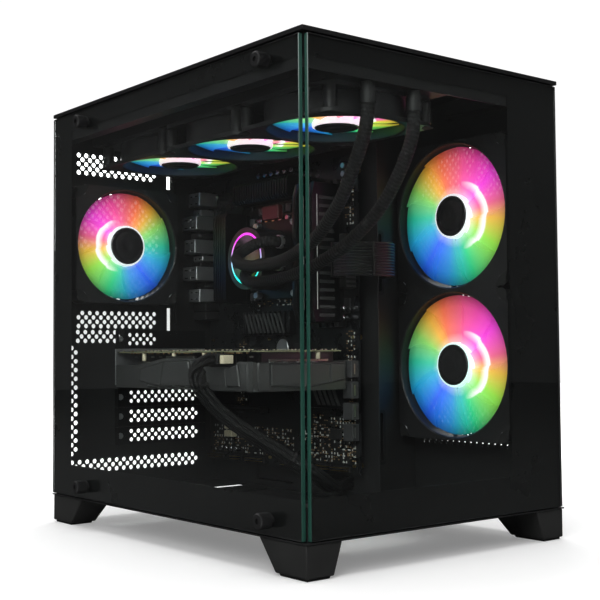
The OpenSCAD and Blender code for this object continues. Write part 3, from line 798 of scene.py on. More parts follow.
@cache
def perforation_tree() -> NodeTree:
    """The tree that lays holed cells in staggered rows, with plain cells all round them."""
    graph, given = new_tree("Geometry", "perforated_sheet", {
        "Tile": "Object", "Blank": "Object", "Columns": "Int", "Rows": "Int", "Pitch": "Float",
        "Row Height": "Float", "Mask X": "Float", "Mask Y": "Float", "Mask Radius": "Float",
        "Material": "Material"}, {"Geometry": "Geometry"})
    calc = graph.math
    index = graph.node("GeometryNodeInputIndex").outputs[0]
    wide = calc("ADD", given["Columns"], 2.0)
    tall = calc("ADD", given["Rows"], 2.0)
    column = calc("SUBTRACT", calc("FLOORED_MODULO", index, wide), 1.0)
    line = calc("FLOOR", calc("DIVIDE", calc("ADD", index, 0.5), wide))
    row = calc("SUBTRACT", line, 1.0)
    odd = calc("FLOORED_MODULO", row, 2.0)
    across = calc("MULTIPLY_ADD", odd, 0.5, calc("ADD", column, 0.5))
    x = calc("MULTIPLY", across, given["Pitch"])
    y = calc("MULTIPLY", calc("ADD", row, 0.5), given["Row Height"])
    place = graph.node("ShaderNodeCombineXYZ", {0: x, 1: y}).outputs[0]
    cells = graph.node("GeometryNodePoints", {"Count": calc("MULTIPLY", wide, tall),
                                              "Position": place}).outputs[0]
    centre = graph.node("ShaderNodeCombineXYZ", {0: given["Mask X"], 1: given["Mask Y"]})
    away = graph.node("ShaderNodeVectorMath", {0: place, 1: centre.outputs[0]},
                      operation="DISTANCE").outputs["Value"]
    inside = calc("LESS_THAN", away, given["Mask Radius"])
    for value, count in ((column, given["Columns"]), (row, given["Rows"])):
        above = calc("GREATER_THAN", value, -0.5)
        below = calc("LESS_THAN", value, calc("SUBTRACT", count, 0.5))
        inside = calc("MULTIPLY", inside, calc("MULTIPLY", above, below))
    parts = graph.node("GeometryNodeJoinGeometry")
    for tile, chosen in (("Tile", inside), ("Blank", calc("SUBTRACT", 1.0, inside))):
        shape = graph.node("GeometryNodeObjectInfo", {"Object": given[tile]}).outputs["Geometry"]
        laid = graph.node("GeometryNodeInstanceOnPoints",
                          {"Points": cells, "Instance": shape, "Selection": chosen})
        graph.tree.links.new(laid.outputs[0], parts.inputs[0])
    flat = graph.node("GeometryNodeRealizeInstances", {0: parts.outputs[0]}).outputs[0]
    dressed = graph.node("GeometryNodeSetMaterial", {"Geometry": flat,
                                                     "Material": given["Material"]})
    graph.node("NodeGroupOutput", {"Geometry": dressed.outputs[0]})
    return graph.tree


@dataclass
class Perforation:
    """A staggered field of holes that fills a rectangle of a plane.

    Low and high are the rectangle's corners in the plane's two coordinates, in X, Y, Z order,
    and mask is a centre and radius that the holes keep inside.
    """
    low: tuple[float, float]
    high: tuple[float, float]
    pitch: float = 8.6
    row: float = 4.5
    radius: float = 2.45
    sides: int = 10
    mask: tuple[float, float, float] = (0.0, 0.0, 1e6)

    def add(self, shape: Shape, axis: Axis, start: float, thick: float) -> None:
        """Bakes the field, trims it to its rectangle and adds it in a shape's finish in use.

        Args:
            shape: The piece that it goes into.
            axis: The axis that the sheet faces along.
            start: The sheet's lower face along that axis.
            thick: The sheet's thickness.
        """
        width, height = self.high[0] - self.low[0], self.high[1] - self.low[1]
        columns = max(1, int(width / self.pitch - 0.5 + 1e-6))
        rows = max(1, int((height - 2 * self.radius - 1.2) / self.row + 1 + 1e-6))
        half, reach = self.pitch / 2, (self.pitch ** 2 / 4 + self.row ** 2) / (2 * self.row)
        side = ((half ** 2 + self.row ** 2) / 2 - half ** 2) / self.row
        cell = ((0, -reach), (half, -side), (half, side), (0, reach), (-half, side),
                (-half, -side))
        hole = circle(self.radius, self.sides, start=-pi / 2)
        tiles = [flat_tile("tile", cell, hole), flat_tile("blank", cell)]
        corner = (self.low[0] + (width - (columns + 0.5) * self.pitch) / 2,
                  self.low[1] + (height - rows * self.row) / 2)
        baked = bake(perforation_tree(), {
            "Tile": tiles[0], "Blank": tiles[1], "Columns": columns, "Rows": rows,
            "Pitch": self.pitch, "Row Height": self.row, "Mask X": self.mask[0] - corner[0],
            "Mask Y": self.mask[1] - corner[1], "Mask Radius": self.mask[2],
            "Material": shape.finishes[shape.index].material()})
        for tile in tiles:
            discard(tile)
        sheet = bmesh.new()
        sheet.from_mesh(baked)
        bpy.data.meshes.remove(baked)
        bmesh.ops.remove_doubles(sheet, verts=sheet.verts, dist=0.02)
        sheet.transform(Matrix.Translation((*corner, 0.0)))
        for point, normal in (((self.low[0], 0, 0), (-1, 0, 0)), ((self.high[0], 0, 0), (1, 0, 0)),
                              ((0, self.low[1], 0), (0, -1, 0)), ((0, self.high[1], 0), (0, 1, 0))):
            parts = sheet.verts[:] + sheet.edges[:] + sheet.faces[:]
            bmesh.ops.bisect_plane(sheet, geom=parts, plane_co=point, plane_no=normal,
                                   dist=0.001, clear_outer=True)
        made = {}
        for vert in sheet.verts:
            for level in (start, start + thick):
                made[vert, level] = shape.mesh.verts.new(axis.lift(vert.co.x, vert.co.y, level))
        faces = []
        for face in sheet.faces:
            for level in (start, start + thick):
                faces.append(shape.mesh.faces.new([made[vert, level] for vert in face.verts]))
        for edge in sheet.edges:
            if edge.is_boundary:
                first, second = edge.verts
                faces.append(shape.mesh.faces.new((made[first, start], made[second, start],
                                                   made[second, start + thick],
                                                   made[first, start + thick])))
        sheet.free()
        shape._close(faces)


def panel(shape: Shape, low: Point, high: Point, axis: Axis, start: float, thick: float,
          cuts: Sequence[tuple[Point, Point]], fields: Sequence[Perforation] = ()) -> None:
    """Adds a flat sheet with rectangles cut out of it and perforated fields.

    Args:
        shape: The piece that it goes into.
        low: The sheet's low corner in its plane's two coordinates.
        high: Its high corner.
        axis: The axis that it faces along.
        start: Its lower face along that axis.
        thick: Its thickness.
        cuts: Low and high corners of each cut.
        fields: Perforated fields that fill cuts of their own.
    """
    cuts = [*cuts, *((field.low, field.high) for field in fields)]
    lines = [sorted({low[k], high[k], *(min(max(corner[k], low[k]), high[k])
                                        for cut in cuts for corner in cut)}) for k in (0, 1)]
    made: dict[tuple[float, float, float], bmesh.types.BMVert] = {}

    def corner(a: float, b: float, level: float) -> bmesh.types.BMVert:
        """The vertex at a crossing, made once."""
        if (a, b, level) not in made:
            made[a, b, level] = shape.mesh.verts.new(axis.lift(a, b, level))
        return made[a, b, level]

    def kept(i: int, j: int) -> bool:
        """Whether a cell of the grid is sheet."""
        if not (0 <= i < len(lines[0]) - 1 and 0 <= j < len(lines[1]) - 1):
            return False
        a, b = (lines[0][i] + lines[0][i + 1]) / 2, (lines[1][j] + lines[1][j + 1]) / 2
        return not any(cut[0][0] < a < cut[1][0] and cut[0][1] < b < cut[1][1] for cut in cuts)

    faces = []
    for i, (a, c) in enumerate(zip(lines[0], lines[0][1:])):
        for j, (b, d) in enumerate(zip(lines[1], lines[1][1:])):
            if not kept(i, j):
                continue
            for level in (start, start + thick):
                faces.append(shape.mesh.faces.new([corner(*point, level) for point in
                                                   ((a, b), (c, b), (c, d), (a, d))]))
            sides = (((a, b), (c, b), i, j - 1), ((a, d), (c, d), i, j + 1),
                     ((a, b), (a, d), i - 1, j), ((c, b), (c, d), i + 1, j))
            for first, second, m, n in sides:
                if not kept(m, n):
                    faces.append(shape.mesh.faces.new(
                        (corner(*first, start), corner(*second, start),
                         corner(*second, start + thick), corner(*first, start + thick))))
    shape._close(faces)
    for field in fields:
        field.add(shape, axis, start, thick)


@cache
def copies_tree() -> NodeTree:
    """The tree that repeats a shape in rows and lines, dropping some by chance if asked."""
    graph, given = new_tree("Geometry", "copies", {
        "Shape": "Object", "Count": "Int", "Step": "Vector", "Rows": "Int",
        "Row Step": "Vector", "Kept": "Float", "Seed": "Int", "Material": "Material"},
        {"Geometry": "Geometry"})
    calc = graph.math
    index = graph.node("GeometryNodeInputIndex").outputs[0]
    column = calc("FLOORED_MODULO", index, given["Count"])
    row = calc("FLOOR", calc("DIVIDE", calc("ADD", index, 0.5),
                                         given["Count"]))

    def scaled(vector: object, factor: object) -> Socket:
        """A vector times a number."""
        made = graph.node("ShaderNodeVectorMath", {0: vector, "Scale": factor}, operation="SCALE")
        return made.outputs[0]

    place = graph.node("ShaderNodeVectorMath", {0: scaled(given["Step"], column),
                                                1: scaled(given["Row Step"], row)}).outputs[0]
    count = calc("MULTIPLY", given["Count"], given["Rows"])
    cells = graph.node("GeometryNodePoints", {"Count": count, "Position": place}).outputs[0]
    chance = graph.node("FunctionNodeRandomValue", {"Seed": given["Seed"]}, data_type="FLOAT")
    kept = calc("LESS_THAN", chance.outputs[1], given["Kept"])
    shape = graph.node("GeometryNodeObjectInfo", {"Object": given["Shape"]}).outputs["Geometry"]
    laid = graph.node("GeometryNodeInstanceOnPoints", {"Points": cells, "Instance": shape,
                                                       "Selection": kept})
    real = graph.node("GeometryNodeRealizeInstances", {0: laid.outputs[0]}).outputs[0]
    dressed = graph.node("GeometryNodeSetMaterial", {"Geometry": real,
                                                     "Material": given["Material"]})
    graph.node("NodeGroupOutput", {"Geometry": dressed.outputs[0]})
    return graph.tree


def one(finish: Surface) -> Shape:
    """Starts a shape that is to be repeated, drawn where its first copy stands."""
    return Shape("one").use(finish)


# ---- The studio ----


@dataclass
class Studio:
    """Camera, lamps and floor round the object."""
    eye: tuple[float, float, float] = (-521.76, -642.98, 168.14)
    yaw: float = 38.839
    pitch: float = 2.647
    roll: float = -0.4265
    lens: float = 67.65
    floor_size: float = 8.0
    ambient: float = 0.2
    mirrored: float = 0.045

    def camera(self) -> None:
        """Makes the camera at its measured place."""
        data = bpy.data.cameras.new("camera")
        data.lens = self.lens
        data.sensor_width = 36.0
        made = stand("camera", data)
        yaw, pitch, roll = (radians(v) for v in (self.yaw, self.pitch, self.roll))
        ahead = Vector((sin(yaw), cos(yaw), 0))
        right = Vector((cos(yaw), -sin(yaw), 0))
        up = Vector((0, 0, 1))
        forward = ahead * cos(pitch) + up * sin(pitch)
        tilted = up * cos(pitch) - ahead * sin(pitch)
        side = right * cos(roll) + tilted * sin(roll)
        top = tilted * cos(roll) - right * sin(roll)
        turn = Matrix((side, top, -forward)).transposed().to_4x4()
        made.matrix_world = Matrix.Translation(spot(self.eye)) @ turn
        bpy.context.scene.camera = made

    @staticmethod
    def seen_straight(graph: Graph, path: bpy_prop_collection) -> Socket:
        """1 for what the camera sees directly or through glass, with no reflection on the way."""
        ahead = graph.math("MAXIMUM", path["Is Camera Ray"], path["Is Transmission Ray"])
        return graph.math("MULTIPLY", ahead, graph.math("LESS_THAN", path["Glossy Depth"], 0.5))

    def world(self) -> None:
        """A white backdrop that the glass and black surfaces see only dimly."""
        world = bpy.data.worlds.new("studio")
        bpy.context.scene.world = world
        world.use_nodes = True
        world.node_tree.nodes.clear()
        graph = Graph(world.node_tree)
        path = graph.node("ShaderNodeLightPath").outputs
        seen = self.seen_straight(graph, path)
        level = graph.between(path["Is Glossy Ray"], self.ambient, self.mirrored)
        dim = graph.node("ShaderNodeBackground", {0: (1.0, 1.0, 1.0, 1.0), 1: level})
        bright = graph.node("ShaderNodeBackground", {0: (1.0, 1.0, 1.0, 1.0), 1: 1.05})
        both = graph.node("ShaderNodeMixShader", {0: seen, 1: dim.outputs[0],
                                                  2: bright.outputs[0]})
        graph.node("ShaderNodeOutputWorld", {0: both.outputs[0]})
        bpy.context.scene.view_settings.view_transform = "Standard"

    def floor(self) -> None:
        """A pale floor that runs into the backdrop. Seen straight, it glows with painted light that
        is weaker near the object, so that its shadow still shows; seen in a reflection, it is
        painted dark.
        """
        half = self.floor_size / 2
        data = bpy.data.meshes.new("floor")
        data.from_pydata([(-half, -half, 0), (half, -half, 0), (half, half, 0), (-half, half, 0)],
                         [], [(0, 1, 2, 3)])
        made = stand("floor", data)
        paint = bpy.data.materials.new("pale_floor")
        paint.use_nodes = True
        paint.node_tree.nodes.clear()
        graph = Graph(paint.node_tree)
        place = graph.node("ShaderNodeTexCoord").outputs["Object"]
        away = graph.node("ShaderNodeVectorMath", {0: place}, operation="LENGTH").outputs["Value"]
        # Painted light: the floor's glow is weakest near the object and full from about a metre
        # out.
        painted_floor_glow = graph.between(away, 0.22, 1.05, 0.3, 1.0)
        path = graph.node("ShaderNodeLightPath").outputs
        seen = self.seen_straight(graph, path)
        tone = graph.node("ShaderNodeTexNoise", {"Vector": place, "Scale": 3.0}).outputs[0]
        pale = graph.mix(tone, (0.80, 0.80, 0.80), (0.84, 0.84, 0.84))
        # Painted reflection: the floor turns dark for rays that reach it off a glossy surface.
        mirrored = graph.math("GREATER_THAN", path["Glossy Depth"], 0.5)
        shader = graph.node("ShaderNodeBsdfPrincipled", {
            "Base Color": graph.mix(mirrored, pale, (0.05, 0.05, 0.05)),
            "Roughness": 0.7, "Specular IOR Level": 0.0, "Emission Color": (1, 1, 1, 1),
            "Emission Strength": graph.math("MULTIPLY", painted_floor_glow, seen)})
        graph.node("ShaderNodeOutputMaterial", {0: shader.outputs[0]})
        data.materials.append(paint)

    def lamp(self, name: str, place: Point, aim: Point, size: float, power: float) -> None:
        """A square soft lamp, in metres, aimed at a point."""
        data = bpy.data.lights.new(name, "AREA")
        data.size = size
        data.energy = power
        made = stand(name, data)
        made.location = place
        made.rotation_euler = (Vector(aim) - Vector(place)).to_track_quat("-Z", "Y").to_euler()

    def build(self) -> None:
        """Makes the whole studio."""
        self.camera()
        self.world()
        self.floor()
        self.lamp("top_lamp", (0.0, 0.0, 2.2), (0, 0, 0), 2.0, 46)
        self.lamp("key_lamp", (-1.5, -1.1, 1.25), (0, 0, 0.22), 1.1, 16)
        self.lamp("fill_lamp", (1.7, 1.5, 1.2), (0, 0, 0.2), 1.2, 16)
        self.lamp("back_lamp", (0.7, 2.1, 0.9), (0, 0.1, 0.25), 0.9, 10)


# ---- The case ----


SIDE_GLASS = case_box("side_glass")


@dataclass
class Glazing:
    """The two glass panels, their printed borders and the thumbscrews."""
    chamfer: float = 0.5
    print_gap: float = 0.03
    print_thick: float = 0.2
    top_band: float = 390.0
    low_band: float = 59.0
    rear_band: float = 368.0
    right_band: float = 231.0
    knurls: int = 40

    def pane(self, node: str, axis: Axis) -> None:
        """A polished pane, its edge at the shared corner greener than its faces."""
        low, high = case_box(node)
        shape = Shape(node + "_pane").use(CLEAR)
        shape.box(low, high, self.chamfer)
        shape.use(EDGE)
        edge, dark = shape.index, shape.use(MATT).index
        corner = Axis.Y if axis is Axis.X else Axis.X
        for face in shape.mesh.faces:
            face.normal_update()
            if abs(face.normal[axis.value]) < 0.9:
                face.material_index = edge if face.normal[corner.value] < -0.5 else dark
        shape.build("panel_glass", [node], node, 10)

    def borders(self) -> None:
        """The black print inside each pane's edges, open at the corner that they share."""
        low, high = SIDE_GLASS[0].z + 0.6, SIDE_GLASS[1].z - 0.6
        start = SIDE_GLASS[1].x + self.print_gap
        for node, axis, k, inner, base in (
                ("side_glass", Axis.X, 1, self.rear_band, self.low_band),
                ("front_glass", Axis.Y, 0, self.right_band, self.low_band + 1)):
            first, last = [corner[k] for corner in case_box(node)]
            near, far = first + 0.6, last - 0.6
            outline = ((near, low), (far, low), (far, high), (near, high), (near, self.top_band),
                       (inner, self.top_band), (inner, base), (near, base))
            shape = Shape(node + "_print").use(PRINT)
            shape.prism(outline, axis, start, start + self.print_thick)
            shape.build("panel_glass", body=node)

    def knurled(self, shape: Shape, centre: Point, axis: Axis, radius: float, low: float,
                high: float, recess: float) -> None:
        """A round knob with a ribbed rim, bevelled faces and a recess in its outer end."""
        sides = self.knurls * 2
        rim = [(radius - (0.45 if i % 2 else 0.0)) for i in range(sides)]

        def ring(scale: float, along: float) -> list[tuple[float, float, float]]:
            """One loop of the knob."""
            return [axis.lift(centre[0] + r * scale * cos(turn),
                              centre[1] + r * scale * sin(turn), along)
                    for r, turn in zip(rim, turns(sides))]
        deep = low + (1.8 if high > low else -1.8)
        edge = 0.8 if high > low else -0.8
        hole = recess / radius
        shape.loft([ring(hole * 0.9, deep), ring(hole, low), ring(0.86, low),
                    ring(1.0, low + edge), ring(1.0, high - edge * 0.5), ring(0.95, high)])

    def thumbscrews(self) -> None:
        """Four knurled heads on the side glass, each with a plain washer."""
        low, high = case_box("glass_thumbscrews")
        radius = 6.25
        first = (low.y + radius, low.z + radius)
        steps = (high.y - low.y - 2 * radius, high.z - low.z - 2 * radius)
        head = one(MATT)
        self.knurled(head, first, Axis.X, radius, low.x, -1.2, 2.2)
        washer = one(RUBBER).tube((-1.2, *first), Axis.X, 2.4, 5.4, 1.15, 32)
        shape = Shape("glass_thumbscrew_heads")
        for part in (head, washer):
            shape.repeat(part, 2, (0, steps[0], 0), 2, (0, 0, steps[1]))
        shape.build("screw_metal", ["glass_thumbscrews"], "glass_thumbscrews")
        low, high = case_box("panel_thumbscrews")
        first = (low.x + 5.0, low.z + 5.0)
        head = one(MATT)
        self.knurled(head, first, Axis.Y, 5.0, high.y, low.y, 1.8)
        shape = Shape("panel_thumbscrew_heads")
        shape.repeat(head, 2, (0, 0, high.z - low.z - 10.0))
        shape.build("screw_metal", ["panel_thumbscrews"], "panel_thumbscrews")

    def build(self) -> None:
        """Makes the glazing."""
        self.pane("side_glass", Axis.X)
        self.pane("front_glass", Axis.Y)
        self.borders()
        self.thumbscrews()


@dataclass
class Shell:
    """The steel case: walls, filters, feet and the control strip."""
    fan_centre: tuple[float, float] = (75.0, 280.0)
    fine: tuple[float, float, float, int] = (7.6, 4.4, 2.1, 8)

    def rear_wall(self) -> None:
        """The rear wall with its perforated fields, fan grille, slots and cut-outs."""
        low, high = case_box("rear_wall")
        board = case_box("motherboard")
        fields = [
            Perforation((24.0, 351.0), (128.0, 379.0)),
            Perforation((24.0, 193.5), (128.0, 213.4)),
            Perforation((24.0, 178.4), (83.5, 193.5)),
            Perforation((17.0, 222.0), (133.0, 338.0), mask=(*self.fan_centre, 55.0)),
            Perforation((15.0, 62.0), (36.0, 178.0), 9.2),
            Perforation((17.0, 44.6), (181.0, 60.6))]
        ports = ((board[0].x - 43.0, board[0].z + 149.5), (board[0].x - 3, board[0].z + 303.5))
        supply = ((207.0, 41.2), (285.0, 179.2))
        slots = [((84.0, z - 7.3), (182.0, z + 7.3)) for z in (163.0, 142.7, *SLOT_HEIGHTS)]
        slots.append(((84.0, 176.5), (127.0, 190.6)))
        slits = [((16.5, 343.0), (20.5, 375.0)), ((137.0, 347.0), (141.5, 365.0)),
                 ((16.5, 192.0), (20.5, 219.0)), ((137.0, 189.0), (141.5, 217.0))]
        shape = Shape("rear_wall_sheet").use(INSIDE_STEEL)
        panel(shape, (low.x, low.z), (high.x, high.z), Axis.Y, low.y, high.y - low.y,
              [ports, supply] + slots + slits, fields)
        shape.build("case_steel", ["rear_wall"])
        rims = Shape("rear_wall_rims").use(STEEL)
        for a, b in (ports, supply):
            rims.window(rounded((a[0] - 2, a[1] - 2), (b[0] + 2, b[1] + 2), 2),
                        rounded(a, b, 0.5), Axis.Y, high.y - 0.1, high.y + 0.5)
        rims.build("case_steel")

    def slot_covers(self) -> None:
        """Four expansion slot covers with three rows of holes, each held by a screw."""
        low, high = case_box("slot_covers")
        shape = Shape("slot_cover_plates").use(BLACK_METAL)
        screws = Shape("slot_screws").use(NICKEL)
        for z in (183.3, *SLOT_HEIGHTS):
            first = z > 180
            holes = Perforation((84.5, z - 7.6), (126.5 if first else 181.5, z + 7.6), row=4.4,
                                radius=2.2)
            panel(shape, (83.6 if first else low.x, z - 9.2), (high.x, z + 9.2), Axis.Y, low.y, 1.1,
                  [], [holes])
            shape.box((low.x, low.y - 5, z - 9.2), (low.x + 1.2, low.y, z + 9.2))
            screws.tube((low.x + 5, low.y - 2.9, z), Axis.Y, 1.2, 2.6, 0.8, 16)
            screws.rod((low.x + 5, low.y - 2.2, z), Axis.Y, 3.2, 2.1, 18, 0.5)
        shape.build("bare_aluminium", ["slot_covers"])
        screws.build("screw_metal")

    def woven(self, node: str, w: float, *bars: tuple[Point, Point]) -> None:
        """A dust filter: a moulded frame with bars, and a woven mesh across it.

        Args:
            node: The CAD node that it stands for.
            w: Width of the frame.
            bars: Low and high corners of bars across the frame, in plan.
        """
        low, high = case_box(node)
        shape = Shape(node + "_mesh").use(MATT)
        shape.window(rounded((low.x, low.y), (high.x, high.y), 5),
                     rounded((low.x + w, low.y + w), (high.x - w, high.y - w), 3), Axis.Z,
                     low.z, high.z)
        for a, b in bars:
            shape.box((*a, low.z), (*b, high.z - 0.3), 0.3)
        middle = (low.z + high.z) / 2
        thick, pitch = 0.42, 2.2
        across, along = high.x - low.x - 2 * w, high.y - low.y - 2 * w
        x, y = low.x + w, low.y + w
        shape.repeat(one(MATT).box((x - 1, y, middle - thick), (x + across + 1, y + thick, middle)),
                     int(along / pitch), (0, pitch, 0))
        shape.repeat(one(MATT).box((x, y - 1, middle), (x + thick, y + along + 1, middle + thick)),
                     int(across / pitch), (pitch, 0, 0))
        shape.build("filter_mesh", [node], node)

    def right_panel(self) -> None:
        """The right side panel with its two perforated fields and its rear tabs."""
        low, high = case_box("right_panel")
        start = high.x - 1.5
        rear = case_box("top_frame")[1].y + 0.3
        fields = [Perforation((24.0, 68.0), (188.0, 384.0), *self.fine),
                  Perforation((262.0, 44.0), (394.0, 176.0), *self.fine)]
        shape = Shape("right_panel_sheet").use(STEEL)
        panel(shape, (low.y, low.z), (rear, high.z), Axis.X, start, 1.5, [], fields)
        for z in (205.0, 394.0):
            shape.window(rounded((279, z - 7), (297, z + 7), 3), circle(2.4, 20, (287, z)),
                         Axis.Y, rear, rear + 1.0)
        shape.build("case_steel", ["right_panel"], "right_panel")

    def bracket(self) -> None:
        """The side fans' bracket, with a row of holes under and over them, and its step wall."""
        low, high = case_box("fan_bracket")
        start = high.x - 1.2
        fields = [Perforation((28.0, 76.0), (162.0, 84.8), *self.fine),
                  Perforation((28.0, 365.6), (162.0, 374.4), *self.fine)]
        cuts = [((26, z - 67), (160, z + 67)) for z in SIDE_FAN_HEIGHTS]
        cuts.append(((0, 391), (118, 412)))
        shape = Shape("fan_bracket_sheet").use(INSIDE_STEEL)
        panel(shape, (low.y, low.z), (high.y, high.z), Axis.X, start, 1.2, cuts, fields)
        panel(shape, (low.x, low.z), (start, high.z), Axis.Y, high.y - 1.2, 1.2,
              [((207, 225), (233, 285)), ((207, 60), (233, 110))])
        shape.build("case_steel", ["fan_bracket"])
        grommets = Shape("cable_grommets").use(RUBBER)
        for z0, z1 in ((225, 285), (60, 110)):
            grommets.window(rounded((205.5, z0 - 1.5), (234.5, z1 + 1.5), 3),
                            rounded((208.5, z0 + 1.5), (231.5, z1 - 1.5), 2), Axis.Y,
                            high.y - 1.7, high.y + 0.5)
        grommets.build("black_plastic")

    def strip(self) -> None:
        """The control strip with its sockets, and the two buttons."""
        softened("port_strip", MATT, 0.4)
        low, high = case_box("port_strip")
        tongues = Shape("port_tongues").use(SATIN)
        x = (low.x + high.x) / 2
        for y in (82.0, 99.0):
            tongues.box((x - 0.4, y + 1, high.z - 9.8), (x + 1.4, y + 12, high.z - 2.5), 0.2)
        for y in (57.0, 73.0):
            tongues.tube((x, y, high.z - 1.2), Axis.Z, 1.75, 3.0, 1.3, 24)
        tongues.build("port_metal")
        for name, radius in (("power_button", 6.0), ("reset_button", 3.0)):
            low, high = case_box(name)
            centre = ((low.x + high.x) / 2, (low.y + high.y) / 2, 0)
            cap = Shape(name + "_cap").use(GREY)
            top, base = high.z, low.z
            cap.turned(((radius, base), (radius, top - 0.5), (radius * 0.93, top),
                        (radius * 0.6, top - 0.1), (radius * 0.5, top - 0.4)), centre, Axis.Z, 40,
                       ring=False)
            cap.build("grey_plastic", [name], name)

    def build(self) -> None:
        """Makes the shell."""
        self.rear_wall()
        self.slot_covers()
        self.woven("top_filter", 7.5, ((12.5, 138.5), (262, 142.5)), ((12.5, 262.5), (262, 266.5)))
        self.woven("bottom_filter", 7.0, ((81, 174.0), (199, 190.0)))
        self.right_panel()
        self.strip()
        softened("top_frame", STEEL, 0.5)
        softened("feet", FOOT, 1.0)
        softened("foot_pads", RUBBER, 0.5)
        softened("chassis_floor", INSIDE_STEEL, 0.4)
        softened("motherboard_tray", INSIDE_STEEL, 0.3)
        self.bracket()
        softened("front_post", INSIDE_STEEL, 0.3)


# ---- Fans ----


@dataclass
class CaseFan:
    """A square case fan with a lit, milky rotor.

    The fan is drawn lying on its face, its axle along its own third axis, and turned into place
    by the three directions given in turn.
    """
    name: str
    rotor: str
    centre: tuple[float, float, float]
    turn: tuple[Point, Point, Point]
    size: float
    glow: Glow
    deep: float = 25.0
    hub: float = 19.0
    blades: int = 9

    def place(self, shape: Shape) -> Shape:
        """Turns a shape from the fan's own axes into the case."""
        matrix = Matrix([Vector(column) for column in self.turn]).transposed().to_4x4()
        shape.mesh.transform(Matrix.Translation(self.centre) @ matrix)
        return shape

    def housing(self) -> None:
        """Two flanges, the duct between them, corner posts, rubber pads, stator and screws."""
        half, bore = self.size / 2, self.size / 2 - 2.5
        hole = half - 7.5
        sides = 64
        square = []
        for turn in turns(sides):
            c, s = cos(turn), sin(turn)
            reach = min(half / max(abs(c), abs(s)), half * 1.32)
            square.append((c * reach, s * reach))
        shape = Shape(self.name + "_housing").use(SATIN)
        ring = circle(bore, sides)
        wide = circle(bore + 1.0, sides)
        loops = ((ring, 1.2), (wide, 0.0), (square, 0.0), (square, 3.6), (circle(bore + 1.9, sides),
                 3.6), (circle(bore + 1.9, sides), self.deep - 3.6), (square, self.deep - 3.6),
                 (square, self.deep), (wide, self.deep), (ring, self.deep - 1.2))
        shape.loft([[(x, y, z) for x, y in loop] for loop, z in loops], ring=True)
        for sx, sy in SIGNS:
            shape.tube((sx * hole, sy * hole, 3.5), Axis.Z, 2.6, 5.6, self.deep - 7, 20)
        shape.use(MATT)
        shape.rod((0, 0, self.deep - 3.6), Axis.Z, 20.5, 3.6, 40, 0.6)
        for angle in (15, 105, 195, 285):
            c, s = cos(radians(angle)), sin(radians(angle))
            outline = [(a * c - b * s, a * s + b * c) for a, b in
                       ((19, -2.2), (bore + 1, -1.6), (bore + 1, 1.6), (19, 2.2))]
            shape.prism(outline, Axis.Z, self.deep - 3.4, self.deep - 0.2, 0.3)
        pad = half - 1.0
        for sx, sy in SIGNS:
            outline = [(sx * a, sy * b) for a, b in (
                (pad, pad - 13), (pad, pad - 3), (pad - 3, pad), (pad - 13, pad),
                (pad - 8.5, pad - 8.5))]
            shape.use(RUBBER).prism(outline, Axis.Z, -0.35, 0.1)
            shape.use(NICKEL).rod((sx * hole, sy * hole, -0.3), Axis.Z, 3.1, 1.0, 16, 0.3)
        self.place(shape).build("black_plastic", [self.name])

    def blade(self, shape: Shape, first: float) -> None:
        """One wide blade, curved along its span and thin at its tip."""
        inner, outer = self.hub + 1.4, self.size / 2 - 4.6
        steps, across, span = 8, 8, radians(41.5)
        loops = []
        for j in range(across + 1):
            share = j / across
            upper, lower = [], []
            for i in range(steps + 1):
                out = i / steps
                radius = inner + (outer - inner) * out
                sweep = 0.30 * out * out
                turn = first + span * (share - 0.5) - sweep
                rise = (share - 0.5) * (3.6 - 1.4 * out) + 8.5 + 0.8 * sin(pi * share)
                thick = 0.9 - 0.35 * out
                upper.append((radius * cos(turn), radius * sin(turn), rise - thick))
                lower.append((radius * cos(turn), radius * sin(turn), rise + thick))
            loops.append(upper + list(reversed(lower)))
        shape.loft(loops)

    def rotor_parts(self) -> None:
        """The blades and light ring, and the hub's cap."""
        shape = Shape(self.rotor + "_blades").use(self.glow)
        for turn in turns(self.blades, 0.2):
            self.blade(shape, turn)
        shape.use(RING_LIGHT)
        inner = self.hub + 0.3
        shape.turned(((inner, 2.6), (inner + 1.5, 2.9), (inner + 2.0, 5.0), (inner + 2.2, 16.0),
                      (inner, 16.0)), (0, 0, 0), Axis.Z, 56)
        shape.use(SATIN)
        hub = self.hub
        profile = ((hub * 0.2, 1.75), (hub * 0.22, 1.6), (hub * 0.72, 1.55), (hub * 0.74, 1.75),
                   (hub * 0.8, 1.75), (hub * 0.82, 1.55), (hub - 0.7, 1.6), (hub, 2.3),
                   (hub, 19.0), (hub - 2, 19.4))
        shape.turned(profile, (0, 0, 0), Axis.Z, 56, ring=False)
        self.place(shape).build("rotor_plastic", [self.rotor], self.rotor)

    def build(self) -> None:
        """Makes the fan."""
        self.housing()
        self.rotor_parts()


@dataclass(frozen=True)
class Lit(Surface):
    """Plain lit plastic whose light changes from one colour to another with height."""
    name: str
    low_colour: Colour
    high_colour: Colour
    low: float
    high: float
    strength: float

    def dress(self, graph: Graph, shader: Node) -> None:
        """Light that follows the height between two levels, in case millimetres."""
        parts = graph.node("ShaderNodeSeparateXYZ", {0: self.place(graph)}).outputs
        height = graph.between(parts[2], 0.0, 1.0, self.low * MM, self.high * MM)
        light = graph.mix(height, self.low_colour, self.high_colour)
        graph.feed(shader, {"Base Color": light, "Emission Color": light,
                            "Emission Strength": self.strength, "Roughness": 0.3})


RING_LIGHT = Lit("ring_light", (0.62, 0.95, 0.88), (0.95, 0.80, 0.88), 80, 400, 0.85)
PUMP_RING = Lit("pump_ring", srgb(40, 225, 215), srgb(230, 60, 215), 245, 280, 1.5)


